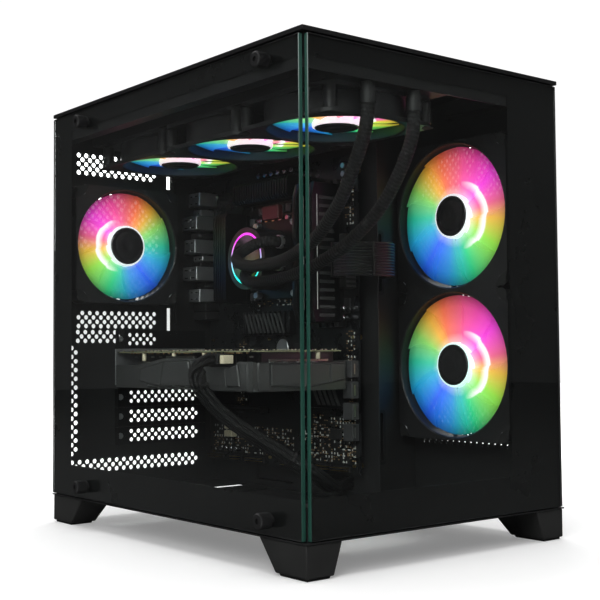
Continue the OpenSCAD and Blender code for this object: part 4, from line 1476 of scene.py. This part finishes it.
@dataclass
class FanSet:
    """All six case fans."""
    alpha: float = 0.86
    strength: float = 1.25

    def build(self) -> None:
        """Makes the side, rear and top fans, each with its own light."""
        kinds = ((("side_fan_1", "side_fan_2"), 140, ((0, 1, 0), (0, 0, 1), (1, 0, 0)),
                  (0, -1, 0), (0, 0, 1)),
                 (("rear_fan",), 120, ((0, 0, 1), (1, 0, 0), (0, 1, 0)), (-1, 0, 0), (0, 0, 1)),
                 (("top_fan_1", "top_fan_2", "top_fan_3"), 120,
                  ((1, 0, 0), (0, 1, 0), (0, 0, 1)), (0.779, -0.627, 0), (-0.627, -0.779, 0)))
        for names, size, turn, right, up in kinds:
            for name in names:
                corner, _ = case_box(name)
                centre = tuple(corner + (Vector(turn[0]) + Vector(turn[1])) * (size / 2))
                glow = Glow(name.replace("fan", "glow"), centre, right, up, size / 2 - 4.5,
                            self.strength, self.alpha)
                CaseFan(name, name.replace("fan", "rotor"), centre, turn, size, glow).build()


PCB = Finish("solder_mask", (0.009, 0.010, 0.011), 0.32, grain=2.4, relief=0.05, patch=18,
             variation=0.35)
CHIP = Finish("chip_black", (0.016, 0.016, 0.017), 0.4, grain=0.8, relief=0.02, patch=9)
GUNMETAL = Finish("gunmetal_shroud", (0.046, 0.047, 0.047), 0.38, grain=0.7, relief=0.02)
HEATSINK = Finish("dark_heatsink", (0.030, 0.031, 0.033), 0.33, metallic=0.8, grain=0.9,
                  relief=0.015, stretch=(1.0, 1.0, 0.1))
CHOKE = Finish("choke_grey", (0.10, 0.10, 0.105), 0.42, metallic=0.4, grain=0.6, relief=0.03)
CAN = Finish("capacitor_can", (0.58, 0.59, 0.61), 0.25, metallic=1.0, grain=0.8, relief=0.01)
TIN = Finish("tinned_contacts", (0.50, 0.50, 0.49), 0.3, metallic=1.0, grain=0.5, relief=0.01)
CREAM = Finish("cream_plastic", srgb(216, 206, 178), 0.45, grain=0.5, relief=0.01)
LAMINATE = Finish("bare_laminate", srgb(128, 130, 100), 0.55, grain=0.6, relief=0.03)
PALE = Finish("pale_parts", srgb(196, 198, 194), 0.35, grain=0.6, relief=0.01, patch=12)
TAN = Finish("tan_ceramic", srgb(150, 120, 84), 0.5, grain=0.5, relief=0.01)
DULL_FIN = Finish("dull_fins", (0.16, 0.16, 0.165), 0.42, metallic=0.9, grain=1.0, relief=0.01,
                  stretch=(1.0, 0.1, 1.0))
ACCENT = Finish("red_accent", srgb(84, 34, 34), 0.35, grain=0.8, relief=0.01)
JACKET = Finish("wire_jacket", (0.014, 0.014, 0.015), 0.4, grain=0.8, relief=0.02)
FIN = Finish("radiator_fin", (0.020, 0.020, 0.021), 0.45, metallic=0.4, grain=0.5, relief=0.02)
SLEEVE = Braid("woven_sleeve", (0.013, 0.013, 0.0135))
RIBBED = Braid("ribbed_sleeve", (0.012, 0.012, 0.0125), strands=1.0, pitch=330.0, relief=0.5)


# ---- Board ----


def socket(shape: Shape, low: Point, high: Point, wall: float, proud: float) -> None:
    """A connector's opening in the rear wall: a plated rim round a flat black plate, painted shade
    in place of the opening's depth.
    """
    inner = [(low[k] + 0.8, high[k] - 0.8) for k in (0, 1)]
    shape.use(NICKEL).window(rounded(low, high, 0.8, 2), rounded(*zip(*inner), 0.5, 2), Axis.Y,
                             wall - 0.1, wall + proud)
    # Painted shade: a flat black plate stands for the dark depth of the opening.
    shape.use(CHIP).box((low[0] + 0.9, wall - 0.1, low[1] + 0.9),
                        (high[0] - 0.9, wall + 0.15, high[1] - 0.9))


@dataclass
class Board:
    """The motherboard with everything that stands on its face."""
    part_rows: tuple[tuple[float, float, float, float, int], ...] = (
        (232.0, 316.0, 216.0, 300.0, 3), (160.0, 240.0, 62.0, 110.0, 5),
        (250.0, 394.0, 62.0, 92.0, 7), (232.0, 340.0, 138.0, 160.0, 11),
        (330.0, 350.0, 110.0, 182.0, 13), (160.0, 174.0, 70.0, 190.0, 17),
        (232.0, 250.0, 212.0, 340.0, 19), (160.0, 174.0, 290.0, 350.0, 23))

    @property
    def face(self) -> float:
        """X of the board's face."""
        return case_box("motherboard")[0].x

    def fins(self, shape: Shape, low: Point, high: Point, pitch: float, thick: float,
             base: float) -> None:
        """A finned block that stands on the board, its fins in planes across Y."""
        shape.box((high[0] - base, low[1], low[2]), high, 0.6)
        outline = ((low[0] + 3, low[2]), (high[0] - base + 0.5, low[2]),
                   (high[0] - base + 0.5, high[2]), (low[0] + 3, high[2]), (low[0], high[2] - 4),
                   (low[0], low[2] + 4))
        fin = one(HEATSINK).prism(outline, Axis.Y, low[1], low[1] + thick, 0.25)
        shape.repeat(fin, int((high[1] - low[1] - thick) / pitch + 0.01) + 1, (0, pitch, 0))

    def heatsinks(self) -> None:
        """The power-stage blocks and the two flat covers, grooved."""
        shape = Shape("vrm_blocks").use(HEATSINK)
        self.fins(shape, (156, 320, 220), (190, 344, 314), 3.35, 2.0, 7)
        self.fins(shape, (164, 226, 322), (190, 318, 344), 4.25, 2.6, 7)
        shape.use(ACCENT).box((157.5, 232, 300), (164, 258, 314), 0.8)
        shape.build("heatsink_metal", ["vrm_heatsinks"])
        softened("board_heatsinks", HEATSINK, 0.8)
        ribs = Shape("cover_ribs")
        for outline, level, count, step in (
                (((171, 117), (175, 117), (197, 157), (193, 157)), 180.3, 5, 7.4),
                (((250, 188), (253, 188), (262, 208), (259, 208)), 179.4, 10, 6.4)):
            rib = one(GUNMETAL).prism(outline, Axis.X, level, level + 0.9, 0.2)
            ribs.repeat(rib, count, (0, step, 0))
        ribs.build("heatsink_metal")

    def power_stages(self) -> None:
        """Chokes and capacitor cans beside the power-stage blocks."""
        face = self.face
        shape = Shape("power_stages")
        shape.repeat(one(CHOKE).box((face - 6.5, 306.5, 222), (face, 315.0, 230.5), 0.9), 8,
                     (0, 0, 11.2))
        shape.repeat(one(CHOKE).box((face - 6.5, 234, 310.5), (face, 242.5, 319), 0.9), 6,
                     (0, 11.4, 0))
        for first, count, step in (((face - 8, 300.5, 226), 8, (0, 0, 11.2)),
                                   ((face - 8, 238, 304.5), 6, (0, 11.4, 0)),
                                   ((face - 9, 366, 66), 4, (0, -8.5, 0)),
                                   ((face - 9, 166, 330), 3, (0, 0, 8)),
                                   ((face - 9, 322, 206), 3, (0, -9, 0)),
                                   ((face - 9, 241, 352), 6, (0, 11, 0)),
                                   ((face - 9, 168, 200), 2, (0, 0, 9))):
            shape.repeat(one(CAN).rod(first, Axis.X, 3.0, 7.5, 14, 0.5), count, step)
        shape.repeat(one(CREAM).box((face - 7, 356, 78), (face, 362.5, 84.5), 0.6), 2,
                     (0, -8.2, 0), 2, (0, 0, 8.2))
        shape.build("circuit_board")

    def scatter(self) -> None:
        """Small parts spread over the open fields of the board."""
        face = self.face
        shape = Shape("small_parts")
        sorts = ((TAN, (1.5, 0.8, 0.7), (3.4, 2.3), 0.25), (PALE, (0.9, 2.0, 0.6), (4.3, 3.7), 0.3),
                 (CHIP, (3.6, 3.6, 1.0), (9.4, 8.8), 0.38),
                 (PALE, (2.6, 1.2, 0.9), (7.9, 6.1), 0.25))
        for low_y, high_y, low_z, high_z, seed in self.part_rows:
            for order, (finish, size, pitch, kept) in enumerate(sorts):
                part = one(finish).box((face - size[2], low_y, low_z),
                                       (face, low_y + size[0], low_z + size[1]))
                shape.repeat(part, int((high_y - low_y) / pitch[0]), (0, pitch[0], 0),
                             int((high_z - low_z) / pitch[1]), (0, 0, pitch[1]), kept,
                             seed + 31 * order)
        shape.use(CHIP)
        for y, z, w, h in ((352, 190, 12, 12), (236, 168, 9, 9), (300, 146, 14, 14),
                           (180, 84, 16, 10), (345, 100, 10, 10), (165, 205, 9, 14)):
            shape.box((face - 1.6, y, z), (face, y + w, z + h), 0.2)
        shape.use(NICKEL).rod((face - 5, 262, 172), Axis.X, 9.6, 3.2, 40, 0.5)
        shape.use(MATT).tube((face - 4.4, 262, 172), Axis.X, 10.0, 11.6, 4.4, 40)
        shape.build("circuit_board")

    def headers(self) -> None:
        """Pin headers along the board's lower and front edges."""
        face = self.face
        shape = Shape("headers").use(MATT)
        pins = Shape("header_pins").use(BRASS)
        for y, z, count in ((168, 55, 9), (196, 55, 9), (224, 55, 9), (252, 55, 5), (300, 55, 10),
                            (340, 55, 5), (372, 55, 9)):
            shape.use(MATT).box((face - 2.6, y - 1.3, z - 1.3),
                                (face, y + 2.54 * (count - 1) + 1.3, z + 3.9), 0.3)
            pin = one(BRASS).box((face - 8.5, y - 0.32, z - 0.32), (face - 0.4, y + 0.32, z + 0.32))
            pins.repeat(pin, count, (0, 2.54, 0), 2, (0, 0, 2.54))
        for z in (84, 104, 124, 144):
            shape.use(GREY).box((face - 9, 155, z), (face, 168, z + 16), 0.5)
            shape.use(TIN).box((face - 6, 154.7, z + 3), (face - 4.8, 156, z + 13))
        shape.build("circuit_board")
        pins.build("brass_metal")

    def memory(self) -> None:
        """Two memory sticks with folded, ribbed heat spreaders."""
        shape = Shape("memory_spreaders").use(HEATSINK)
        low, high = case_box("memory_sticks")
        for y in (low.y, high.y - (high.y - low.y - 19.0)):
            wide = high.y - low.y - 19.0
            outline = ((low.x + 4, low.z), (high.x, low.z), (high.x, high.z), (low.x + 4, high.z),
                       (low.x, high.z - 14), (low.x, high.z - 52), (low.x + 3, high.z - 58),
                       (low.x + 3, low.z + 58), (low.x, low.z + 52), (low.x, low.z + 14))
            shape.prism(outline, Axis.Y, y, y + wide, 0.5)
            shape.use(PALE).box((low.x + 6, y - 0.35, low.z + 12),
                                (low.x + 6.8, y + 0.1, high.z - 12), 0.05)
            groove = one(GUNMETAL).box((low.x + 9, y - 0.25, low.z + 5),
                                       (high.x - 8, y + wide + 0.25, low.z + 8), 0.1)
            shape.repeat(groove, int((high.z - low.z - 12) / 8), (0, 0, 8.0)).use(HEATSINK)
        shape.build("heatsink_metal", ["memory_sticks"])

    def ports(self) -> None:
        """Plated connector shells of many sizes in a row behind the rear shield."""
        low, high = case_box("rear_ports")
        rear = high.y - 1.2
        shape = Shape("rear_port_shells").use(MATT)
        shape.box((low.x, rear, low.z), (high.x, high.y, high.z), 0.3)
        shape.box((low.x, rear - 5, low.z), (low.x + 1.2, rear, high.z), 0.2)
        shells = ((204, 213, 172, 24, MATT), (214, 223, 172, 24, MATT), (224, 238, 166, 21, NICKEL),
                  (240, 245, 176, 17, GREY), (247, 262, 158, 27, NICKEL), (263, 268, 170, 17, MATT),
                  (269, 275, 172, 18, NICKEL), (277, 292, 160, 21, NICKEL),
                  (294, 300, 168, 19, GREY), (302, 317, 158, 27, NICKEL),
                  (319, 326, 172, 15, NICKEL), (329, 344, 166, 21, NICKEL),
                  (346, 353, 174, 14, MATT))
        for z0, z1, x, deep, finish in shells:
            shape.use(finish).box((x, rear - deep, z0), (self.face, rear + 0.2, z1), 0.6)
            if finish is NICKEL:
                for z in (z0 + 2.4, z1 - 4.2):
                    shape.use(CHIP).box((x - 0.15, rear - deep + 4, z),
                                        (x + 0.4, rear - 3.5, z + 1.1))
                    shape.use(NICKEL).box((x - 0.6, rear - deep * 0.5 - 2, z - 0.4),
                                          (x + 0.3, rear - deep * 0.5 + 3, z + 1.6), 0.2)
        shape.use(CAN)
        for y, z in ((372, 232), (371, 286), (373, 338), (369, 300)):
            shape.rod((self.face - 8.5, y, z), Axis.X, 3.1, 8.5, 16, 0.5)
        shape.build("port_metal", ["rear_ports"])
        self.sockets(high.y)

    def sockets(self, wall: float) -> None:
        """The openings of the rear connectors, each a plated rim round a dark tongue on a flat
        black plate of painted shade.
        """
        shape = Shape("rear_sockets").use(NICKEL)
        left = case_box("rear_ports")[0].x
        for z0, z1, x0, x1 in ((206, 220, 4, 11), (206, 220, 15, 22), (206, 220, 26, 33),
                               (227, 241, 5, 19), (227, 241, 22, 36), (248, 264, 5, 20),
                               (248, 255, 24, 38), (271, 285, 5, 19), (271, 285, 22, 36),
                               (294, 300, 5, 20), (294, 302, 24, 39), (310, 324, 5, 19),
                               (332, 340, 5, 13), (332, 340, 17, 25)):
            socket(shape, (left + x0, z0), (left + x1, z1), wall, 0.9)
            shape.use(GREY).box((left + x0 + 2.4, wall, (z0 + z1) / 2 - 0.8),
                                (left + x1 - 2.4, wall + 0.7, (z0 + z1) / 2 + 0.8), 0.1)
        shape.build("port_metal")

    def build(self) -> None:
        """Makes the board."""
        softened("motherboard", PCB, 0.15)
        softened("board_slots", MATT, 0.4)
        softened("processor", NICKEL, 0.4)
        carried_over("standoffs", BRASS)
        self.heatsinks()
        self.power_stages()
        self.scatter()
        self.headers()
        self.memory()
        self.ports()


# ---- Cords ----


def smoothed(points: Sequence[Point], steps: int = 4) -> list[Vector]:
    """A rounder route through the same points."""
    path = [Vector(point) for point in points]
    made = []
    for i in range(len(path) - 1):
        a, b, c, d = (path[max(i - 1, 0)], path[i], path[i + 1], path[min(i + 2, len(path) - 1)])
        for k in range(steps):
            t = k / steps
            made.append(0.5 * (2 * b + (c - a) * t + (2 * a - 5 * b + 4 * c - d) * t * t
                               + (3 * b - a - 3 * c + d) * t ** 3))
    return made + [path[-1]]


@dataclass
class Cord:
    """One tube or cable: its route, its strands and what it is called."""
    name: str
    node: str
    route: tuple[Point, ...]
    slot: str
    finish: Surface
    width: float
    strand: float
    lanes: tuple[tuple[float, float], ...] = ((0.0, 0.0),)
    up: Point = (0.0, 0.2, 1.0)
    sides: int = 16
    stiffness: str = "medium"
    combs: tuple[float, ...] = ()
    comb_half: tuple[float, float] = (4.0, 16.0)

    def frames(self) -> list[tuple[Vector, Vector, Vector]]:
        """Each point of the smoothed route with its two crosswise directions."""
        path = smoothed(self.route)
        found = []
        for i, point in enumerate(path):
            ahead = (path[min(i + 1, len(path) - 1)] - path[max(i - 1, 0)]).normalized()
            side = ahead.cross(Vector(self.up)).normalized()
            found.append((point, side, ahead.cross(side)))
        return found

    def build(self) -> None:
        frames = self.frames()
        shape = Shape(self.name).use(self.finish)
        for side_step, stand_step in self.lanes:
            lane = [point + side * side_step + stand * stand_step for point, side, stand in frames]
            shape.sweep(lane, self.strand, up=self.up, sides=self.sides)
        shape.use(MATT)
        for share in self.combs:
            index = int(share * (len(frames) - 2)) + 1
            point, side, stand = frames[index]
            ahead = side.cross(stand).normalized()
            half_side, half_stand = self.comb_half
            loops = []
            for along in (-1.2, 1.2):
                loops.append([point + ahead * along + side * a * half_side + stand * b * half_stand
                              for a, b in ((-1, -1), (1, -1), (1, 1), (-1, 1))])
            shape.loft(loops)
        made = shape.build(self.slot, [self.node])


TUBE_1 = ((152.3, 224, 276), (148, 224, 276), (142, 228, 276), (135, 237, 274), (128, 244, 269),
          (119, 246, 262), (111, 236, 256), (105, 214, 250), (101, 188, 248), (98, 158, 249),
          (95, 128, 254), (91, 100, 264), (87, 76, 278), (83, 54, 295), (80, 36, 317),
          (77, 20, 340), (76, 15, 353), (76, 14, 363), (76, 14, 375.4))
TUBE_2 = ((152.3, 224, 254), (148, 224, 254), (142, 226, 254.5), (136, 232, 254), (131, 239, 251),
          (127, 243, 246), (123, 240, 240), (120, 228, 236), (119, 206, 235), (118, 180, 236),
          (118, 150, 240), (118, 120, 249), (119, 92, 260), (120, 66, 275), (122, 46, 292),
          (124, 29, 315), (126, 17.5, 338), (127, 14.5, 352), (127, 14, 363), (127, 14, 375.4))
BOARD_CABLE = ((176, 161.5, 254), (169, 161.5, 254), (162, 157, 254), (160, 149, 254),
               (163, 140, 254), (173, 131, 254), (186, 126, 254), (200, 125, 254),
               (212, 131, 254), (219, 144, 254), (220, 158, 254), (220, 176, 254),
               (221, 192, 250), (224, 206, 236), (228, 216, 214), (232, 224, 192),
               (236, 231, 174), (238, 240, 163), (238, 248, 161), (238, 253.5, 161))
CARD_CABLE = ((63.9, 213, 161.5), (56, 212, 161), (50, 211, 157), (47, 210, 149), (48, 208, 139),
              (53, 203, 128), (61, 196, 116), (72, 186, 104), (87, 174, 91), (104, 162, 78),
              (121, 154, 65), (138, 153, 54), (156, 160, 45), (174, 172, 41), (188, 182, 41),
              (200, 188, 41), (212, 192, 42), (222, 201, 48), (228, 216, 58), (230, 234, 67),
              (230, 245, 70), (230, 253.5, 70))


@dataclass
class Cords:
    """The cooling tubes and the two power cables."""
    wire: float = 1.22
    wire_pitch: float = 2.66

    def build(self) -> None:
        """Makes every cord, and the cables' plugs."""
        for name, route in (("tube_1", TUBE_1), ("tube_2", TUBE_2)):
            Cord(name + "_hose", name, route, "sleeve", SLEEVE, 11.0, 5.5, sides=24,
                 stiffness="stiff").build()
        wires = tuple((side, (i - 5.5) * self.wire_pitch) for side in (-1.7, 1.7)
                      for i in range(12))
        Cord("board_cable", "board_power_cable", BOARD_CABLE, "sleeve", JACKET, 32.0, self.wire,
             wires, (0.01, 0.02, 1.0), 6, combs=(0.12, 0.3, 0.46, 0.62, 0.8)).build()
        ribs = tuple((side, stand) for side in (-5.3, 0.0, 5.3) for stand in (-2.3, 2.3))
        Cord("card_cable", "gpu_power_cable", CARD_CABLE, "sleeve", RIBBED, 16.0, 2.4, ribs,
             (0.3, 0.35, 1.0), 12, combs=(0.2, 0.45, 0.75), comb_half=(8.2, 4.9)).build()
        plug = Shape("board_plug").use(MATT)
        plug.box((176, 157, 228), (189.9, 166, 280), 0.5)
        plug.repeat(one(GREY).box((177.5, 156.4, 229.5), (188.5, 157.2, 231.3)), 12, (0, 0, 4.2))
        plug.use(CREAM).box((178.5, 155.9, 262), (186, 156.5, 272), 0.1)
        plug.build("black_plastic")
        plug = Shape("card_plug").use(MATT)
        plug.box((64, 203, 157), (77.9, 223, 167), 0.6)
        plug.repeat(one(GREY).box((65.5, 203.8, 166.8), (76.5, 205.2, 167.5)), 5, (0, 4.3, 0))
        plug.use(CREAM).box((66, 196.5, 158), (78, 201.5, 166), 0.5)
        plug.build("black_plastic")


# ---- Cooling ----


@dataclass
class Cooling:
    """The radiator, the pump on the processor and its bracket."""
    pump_centre: tuple[float, float] = (266.0, 262.0)
    tank: float = 24.0

    def radiator(self) -> None:
        """Two tanks joined by flat tubes with fins between them."""
        low, high = case_box("radiator")
        base = low.z + 6.0 - 0.1
        shape = Shape("radiator_tanks").use(MATT)
        shape.box((low.x, low.y, base), (high.x, low.y + self.tank, high.z), 1.0)
        shape.box((low.x, high.y - self.tank, base), (high.x, high.y, high.z), 1.0)
        for x in (low.x, high.x - 1.6):
            shape.box((x, low.y + self.tank - 1, base),
                      (x + 1.6, high.y - self.tank + 1, high.z), 0.3)
        for x in TUBE_PORTS:
            shape.tube((x, 14, low.z), Axis.Z, 4.0, 6.0, 7.0, 32)
            shape.tube((x, 14, low.z - 11), Axis.Z, 5.7, 6.6, 11.2, 32)
        shape.build("radiator_metal", ["radiator"])
        core = Shape("radiator_core")
        y0, y1 = low.y + self.tank - 1, high.y - self.tank + 1
        tube = one(FIN).box((low.x + 8.0, y0, base + 1.2), (low.x + 10.0, y1, high.z - 1.2))
        core.repeat(tube, 12, (9.3, 0, 0))
        fin = one(FIN).box((low.x + 1.5, y0 + 1, base + 1.6),
                           (high.x - 1.5, y0 + 1.3, high.z - 1.6))
        core.repeat(fin, int((y1 - y0 - 2) / 1.9), (0, 1.9, 0))
        core.build("radiator_metal")

    def pump(self) -> None:
        """The round pump with its light ring, glossy face and plated elbows."""
        softened("pump", SATIN, 0.6)
        softened("pump_bracket", BLACK_METAL, 0.5)
        y, z = self.pump_centre
        face = case_box("pump")[0].x
        shape = Shape("pump_face").use(PUMP_RING)
        shape.tube((face + 0.4, y, z), Axis.X, 23.6, 25.9, 1.2, 72)
        shape.use(GLOSS).rod((face - 0.5, y, z), Axis.X, 23.2, 0.7, 72, 0.3)
        shape.use(NICKEL)
        for height in (254, 276):
            shape.tube((151.2, 224, height), Axis.X, 5.6, 6.6, 4.0, 32)
        shape.build("pump_plastic")
        screws = Shape("pump_screws").use(NICKEL)
        low, high = case_box("pump_bracket")
        for y, z in product((low.y + 4.5, high.y - 4.5), (low.z + 4.5, high.z - 4.5)):
            screws.rod((low.x - 7, y, z), Axis.X, 3.4, 7.0, 20, 0.5)
            screws.tube((low.x - 7.6, y, z), Axis.X, 1.4, 3.0, 0.7, 16)
        screws.build("screw_metal")

    def build(self) -> None:
        """Makes the cooling parts."""
        self.radiator()
        self.pump()


# ---- Graphics card ----


@dataclass
class SmallFan:
    """A plain black axial fan, drawn in place along an axis."""
    name: str
    node: str
    centre: tuple[float, float, float]
    axis: Axis
    radius: float
    hub: float
    deep: float
    blades: int = 11

    def build(self) -> None:
        """Makes the hub and the blades."""
        shape = Shape(self.name).use(SATIN)
        a, b = [self.centre[k] for k in range(3) if k != self.axis.value]
        start = self.centre[self.axis.value]
        for first in turns(self.blades, 0.1):
            loops = []
            for j in range(6):
                share = j / 5
                near, far = [], []
                for i in range(6):
                    out = i / 5
                    radius = self.hub * 0.92 + (self.radius - self.hub * 0.92) * out
                    turn = first + 0.5 * (share - 0.5) + 0.35 * out * out
                    rise = start + self.deep * (0.18 + 0.6 * share)
                    c, s = cos(turn), sin(turn)
                    near.append(self.axis.lift(a + radius * c, b + radius * s, rise))
                    far.append(self.axis.lift(a + radius * c, b + radius * s, rise + 0.9))
                loops.append(near + list(reversed(far)))
            shape.loft(loops)
        shape.use(MATT)
        hub, deep = self.hub, self.deep
        shape.turned(((hub * 0.5, 0.1), (hub - 1.2, 0), (hub, 1.2), (hub, deep * 0.85),
                      (hub * 0.8, deep * 0.9)), self.centre, self.axis, 40, ring=False)
        shape.build("rotor_plastic", [self.node], self.node)


@dataclass
class GraphicsCard:
    """The graphics card: board, fins, shroud, bracket and two fans."""
    fan_rows: tuple[float, ...] = (225.4, 337.4)
    fan_x: float = 127.0

    def edge(self) -> None:
        """What shows along the card's open edges: bare laminate, pillars, bars and parts."""
        low, high = case_box("gpu_board")
        top = high.z
        shape = Shape("card_edge_parts").use(LAMINATE)
        shape.box((low.x - 0.15, low.y + 1, top - 1.3), (low.x + 0.3, high.y - 4, top - 0.3))
        shape.box((low.x + 1, low.y - 0.15, top - 1.3), (178, low.y + 0.3, top - 0.3))
        side = ((TAN, (76.2, 0, top - 2.8), (78.0, 1.2, top - 1.6), 3.1, 70, 0.5, 9),
                (TIN, (75.8, 0, top), (77.6, 1.0, top + 0.7), 4.3, 52, 0.6, 13),
                (TAN, (78.6, 0, top), (80.4, 1.0, top + 0.7), 3.7, 60, 0.45, 15),
                (CREAM, (76.4, 0, top), (77.8, 1.6, top + 1.1), 6.9, 33, 0.5, 19),
                (CHIP, (83, 0, top), (89, 5, top + 1.0), 11.7, 19, 0.6, 17),
                (TIN, (80, 0, top - 6.5), (81.6, 4.5, top - 5), 15.3, 15, 0.7, 23))
        for finish, a, b, step, count, kept, seed in side:
            part = one(finish).box((a[0], low.y + 4, a[2]), (b[0], low.y + 4 + b[1], b[2]), 0.15)
            shape.repeat(part, count, (0, step, 0), kept=kept, seed=seed)
        ends = ((CREAM, 0.9, top, 1.0, 4.1, 24, 0.6, 29), (TIN, 1.4, top, 0.7, 3.3, 30, 0.5, 31))
        for finish, wide, z, tall, step, count, kept, seed in ends:
            part = one(finish).box((78, low.y + 1.2, z), (78 + wide, low.y + 2.6, z + tall), 0.1)
            shape.repeat(part, count, (step, 0, 0), kept=kept, seed=seed)
        shape.use(CREAM)
        for x, y in ((77.6, 352), (77.6, 296), (77.6, 243), (152, low.y + 3)):
            shape.rod((x, y, top - 9.5), Axis.Z, 2.1, 7.9, 20, 0.4)
        shape.use(TIN)
        shape.box((75.5, 258, top - 7.8), (79, 308, top - 4.6), 0.5)
        shape.box((75.5, 322, top - 13), (78, 362, top - 10.5), 0.4)
        shape.use(MATT).box((78, 192.4, top - 12.8), (90, 228.4, top - 1.6), 0.6)
        shape.build("gpu_circuit_board")

    def outputs(self) -> None:
        """The display sockets on the card's bracket, and its vents as thin black plates of painted
        shade in place of open slots.
        """
        wall = case_box("gpu_bracket")[1].y
        shape = Shape("card_sockets").use(NICKEL)
        for x in (90, 113, 136, 159):
            socket(shape, (x, 158.5), (x + 17, 165.5), wall, 0.8)
        # Painted shade: the vents are black plates on the bracket's face, not holes.
        shape.repeat(one(CHIP).box((88, wall - 0.1, 138.5), (91, wall + 0.1, 147.5)), 16,
                     (5.6, 0, 0))
        shape.build("plated_steel")

    def fins(self) -> None:
        """The heatsink: a stack of thin fins on heat pipes."""
        low, high = case_box("gpu_heatsink")
        shape = Shape("card_fins")
        fin = one(DULL_FIN).box((low.x, low.y, low.z), (high.x, low.y + 0.5, high.z))
        shape.repeat(fin, int((high.y - low.y) / 2.4), (0, 2.4, 0))
        shape.use(NICKEL)
        for x in (104, 120, 136, 152):
            shape.rod((x, low.y - 2.0, (low.z + high.z) / 2), Axis.Y, 3.0, high.y - low.y + 3,
                      16, 0.6)
        shape.build("bare_aluminium", ["gpu_heatsink"])

    def shroud(self) -> None:
        """The shroud, with raised facets on its open side and its end."""
        softened("gpu_shroud", GUNMETAL, 0.9)
        low, high = case_box("gpu_shroud")
        x, y, z = low.x, low.y, low.z
        shape = Shape("shroud_facets").use(GUNMETAL)
        for outline in (((254, z + 3), (312, z + 3), (306, z + 27), (262, z + 28)),
                        ((312, z + 3), (352, z + 7), (350, z + 20), (306, z + 27)),
                        ((234, z + 6), (250, z + 3), (258, z + 28), (240, z + 28)),
                        ((178, z + 4), (200, z + 4), (203, z + 20), (182, z + 25))):
            shape.prism(outline, Axis.X, x - 1.7, x + 0.2, 1.5)
        for outline in (((92, z + 5), (128, z + 2), (128, z + 25), (92, z + 25)),
                        ((128, z + 2), (158, z + 6), (158, z + 25), (128, z + 25)),
                        ((158, z + 6), (176, z + 9), (176, z + 24), (158, z + 25))):
            shape.prism(outline, Axis.Y, y - 1.7, y + 0.2, 1.5)
        shape.prism(((x - 1.4, y + 17), (x - 1.4, y + 8), (x + 6, y - 1.4), (x + 17, y - 1.4),
                     (x + 17, y + 0.6), (x + 1, y + 17)), Axis.Z, z + 1, z + 26, 0.6)
        shape.use(TIN)
        shape.box((x + 18, y - 0.6, z + 26.6), (x + 84, y + 1.6, z + 29.0), 0.4)
        for end in (268.0, 314.0):
            shape.prism(((end, z + 0.8), (end + 22, z + 3.2), (end + 20, z + 4.0),
                         (end, z + 2.2)), Axis.X, x - 2.2, x - 1.2, 0.2)
        shape.build("black_plastic")

    def build(self) -> None:
        """Makes the card."""
        softened("gpu_board", PCB, 0.15)
        softened("gpu_bracket", NICKEL, 0.3)
        self.edge()
        self.outputs()
        self.fins()
        self.shroud()
        for number, y in enumerate(self.fan_rows, 1):
            place = (self.fan_x, y, case_box("gpu_shroud")[0].z + 0.6)
            SmallFan(f"card_fan_{number}", f"gpu_fan_{number}", place, Axis.Z, 46.5, 17.0,
                     11.0).build()


# ---- Power supply and drive ----


@dataclass
class Power:
    """The power supply with its fan and switch, and the drive in its caddy."""
    fan_spot: tuple[float, float] = (325.8, 110.2)

    def grille(self) -> None:
        """The wire guard over the supply's fan."""
        y, z = self.fan_spot
        face = case_box("psu_case")[1].x
        shape = Shape("psu_guard").use(BLACK_METAL)
        for radius in (16, 25, 34, 43, 52, 60):
            shape.tube((face - 0.6, y, z), Axis.X, radius - 0.7, radius + 0.7, 1.2, 56)
        for turn in turns(4, radians(45)):
            c, s = cos(turn), sin(turn)
            outline = [(y + a * c - b * s, z + a * s + b * c)
                       for a, b in ((4, -0.8), (61, -0.8), (61, 0.8), (4, 0.8))]
            shape.prism(outline, Axis.X, face - 1.4, face - 0.2)
        shape.rod((face - 1.0, y, z), Axis.X, 8.0, 1.4, 32, 0.3)
        shape.build("black_plastic")

    def inlet(self) -> None:
        """The three prongs of the mains inlet."""
        low, high = case_box("psu_case")
        shape = Shape("inlet_prongs").use(NICKEL)
        for dx, dz in ((-7, -2), (7, -2), (0, 3)):
            shape.box((249.5 + dx - 0.8, high.y - 12, 120 + dz - 2.4),
                      (249.5 + dx + 0.8, high.y - 3, 120 + dz + 2.4), 0.2)
        shape.build("plated_steel")

    def build(self) -> None:
        """Makes the power parts."""
        softened("psu_case", MATT, 0.5)
        softened("psu_switch", SATIN, 0.3, "psu_switch")
        softened("drive", ALUMINIUM, 0.4, "drive_tray")
        softened("drive_caddy", MATT, 0.4, "drive_tray")
        low, _ = case_box("psu_fan")
        y, z = self.fan_spot
        SmallFan("psu_rotor", "psu_fan", (low.x, y, z), Axis.X, 56.0, 19.0, 20.0,
                 9).build()
        self.grille()
        self.inlet()


def main() -> None:
    """Builds the tower sub-assembly by sub-assembly."""
    logging.basicConfig(level=logging.INFO, format="%(name)s %(message)s")
    Studio().build()
    Glazing().build()
    Shell().build()
    FanSet().build()
    Cords().build()
    Board().build()
    Cooling().build()
    GraphicsCard().build()
    Power().build()


if __name__ == "__main__":
    main()
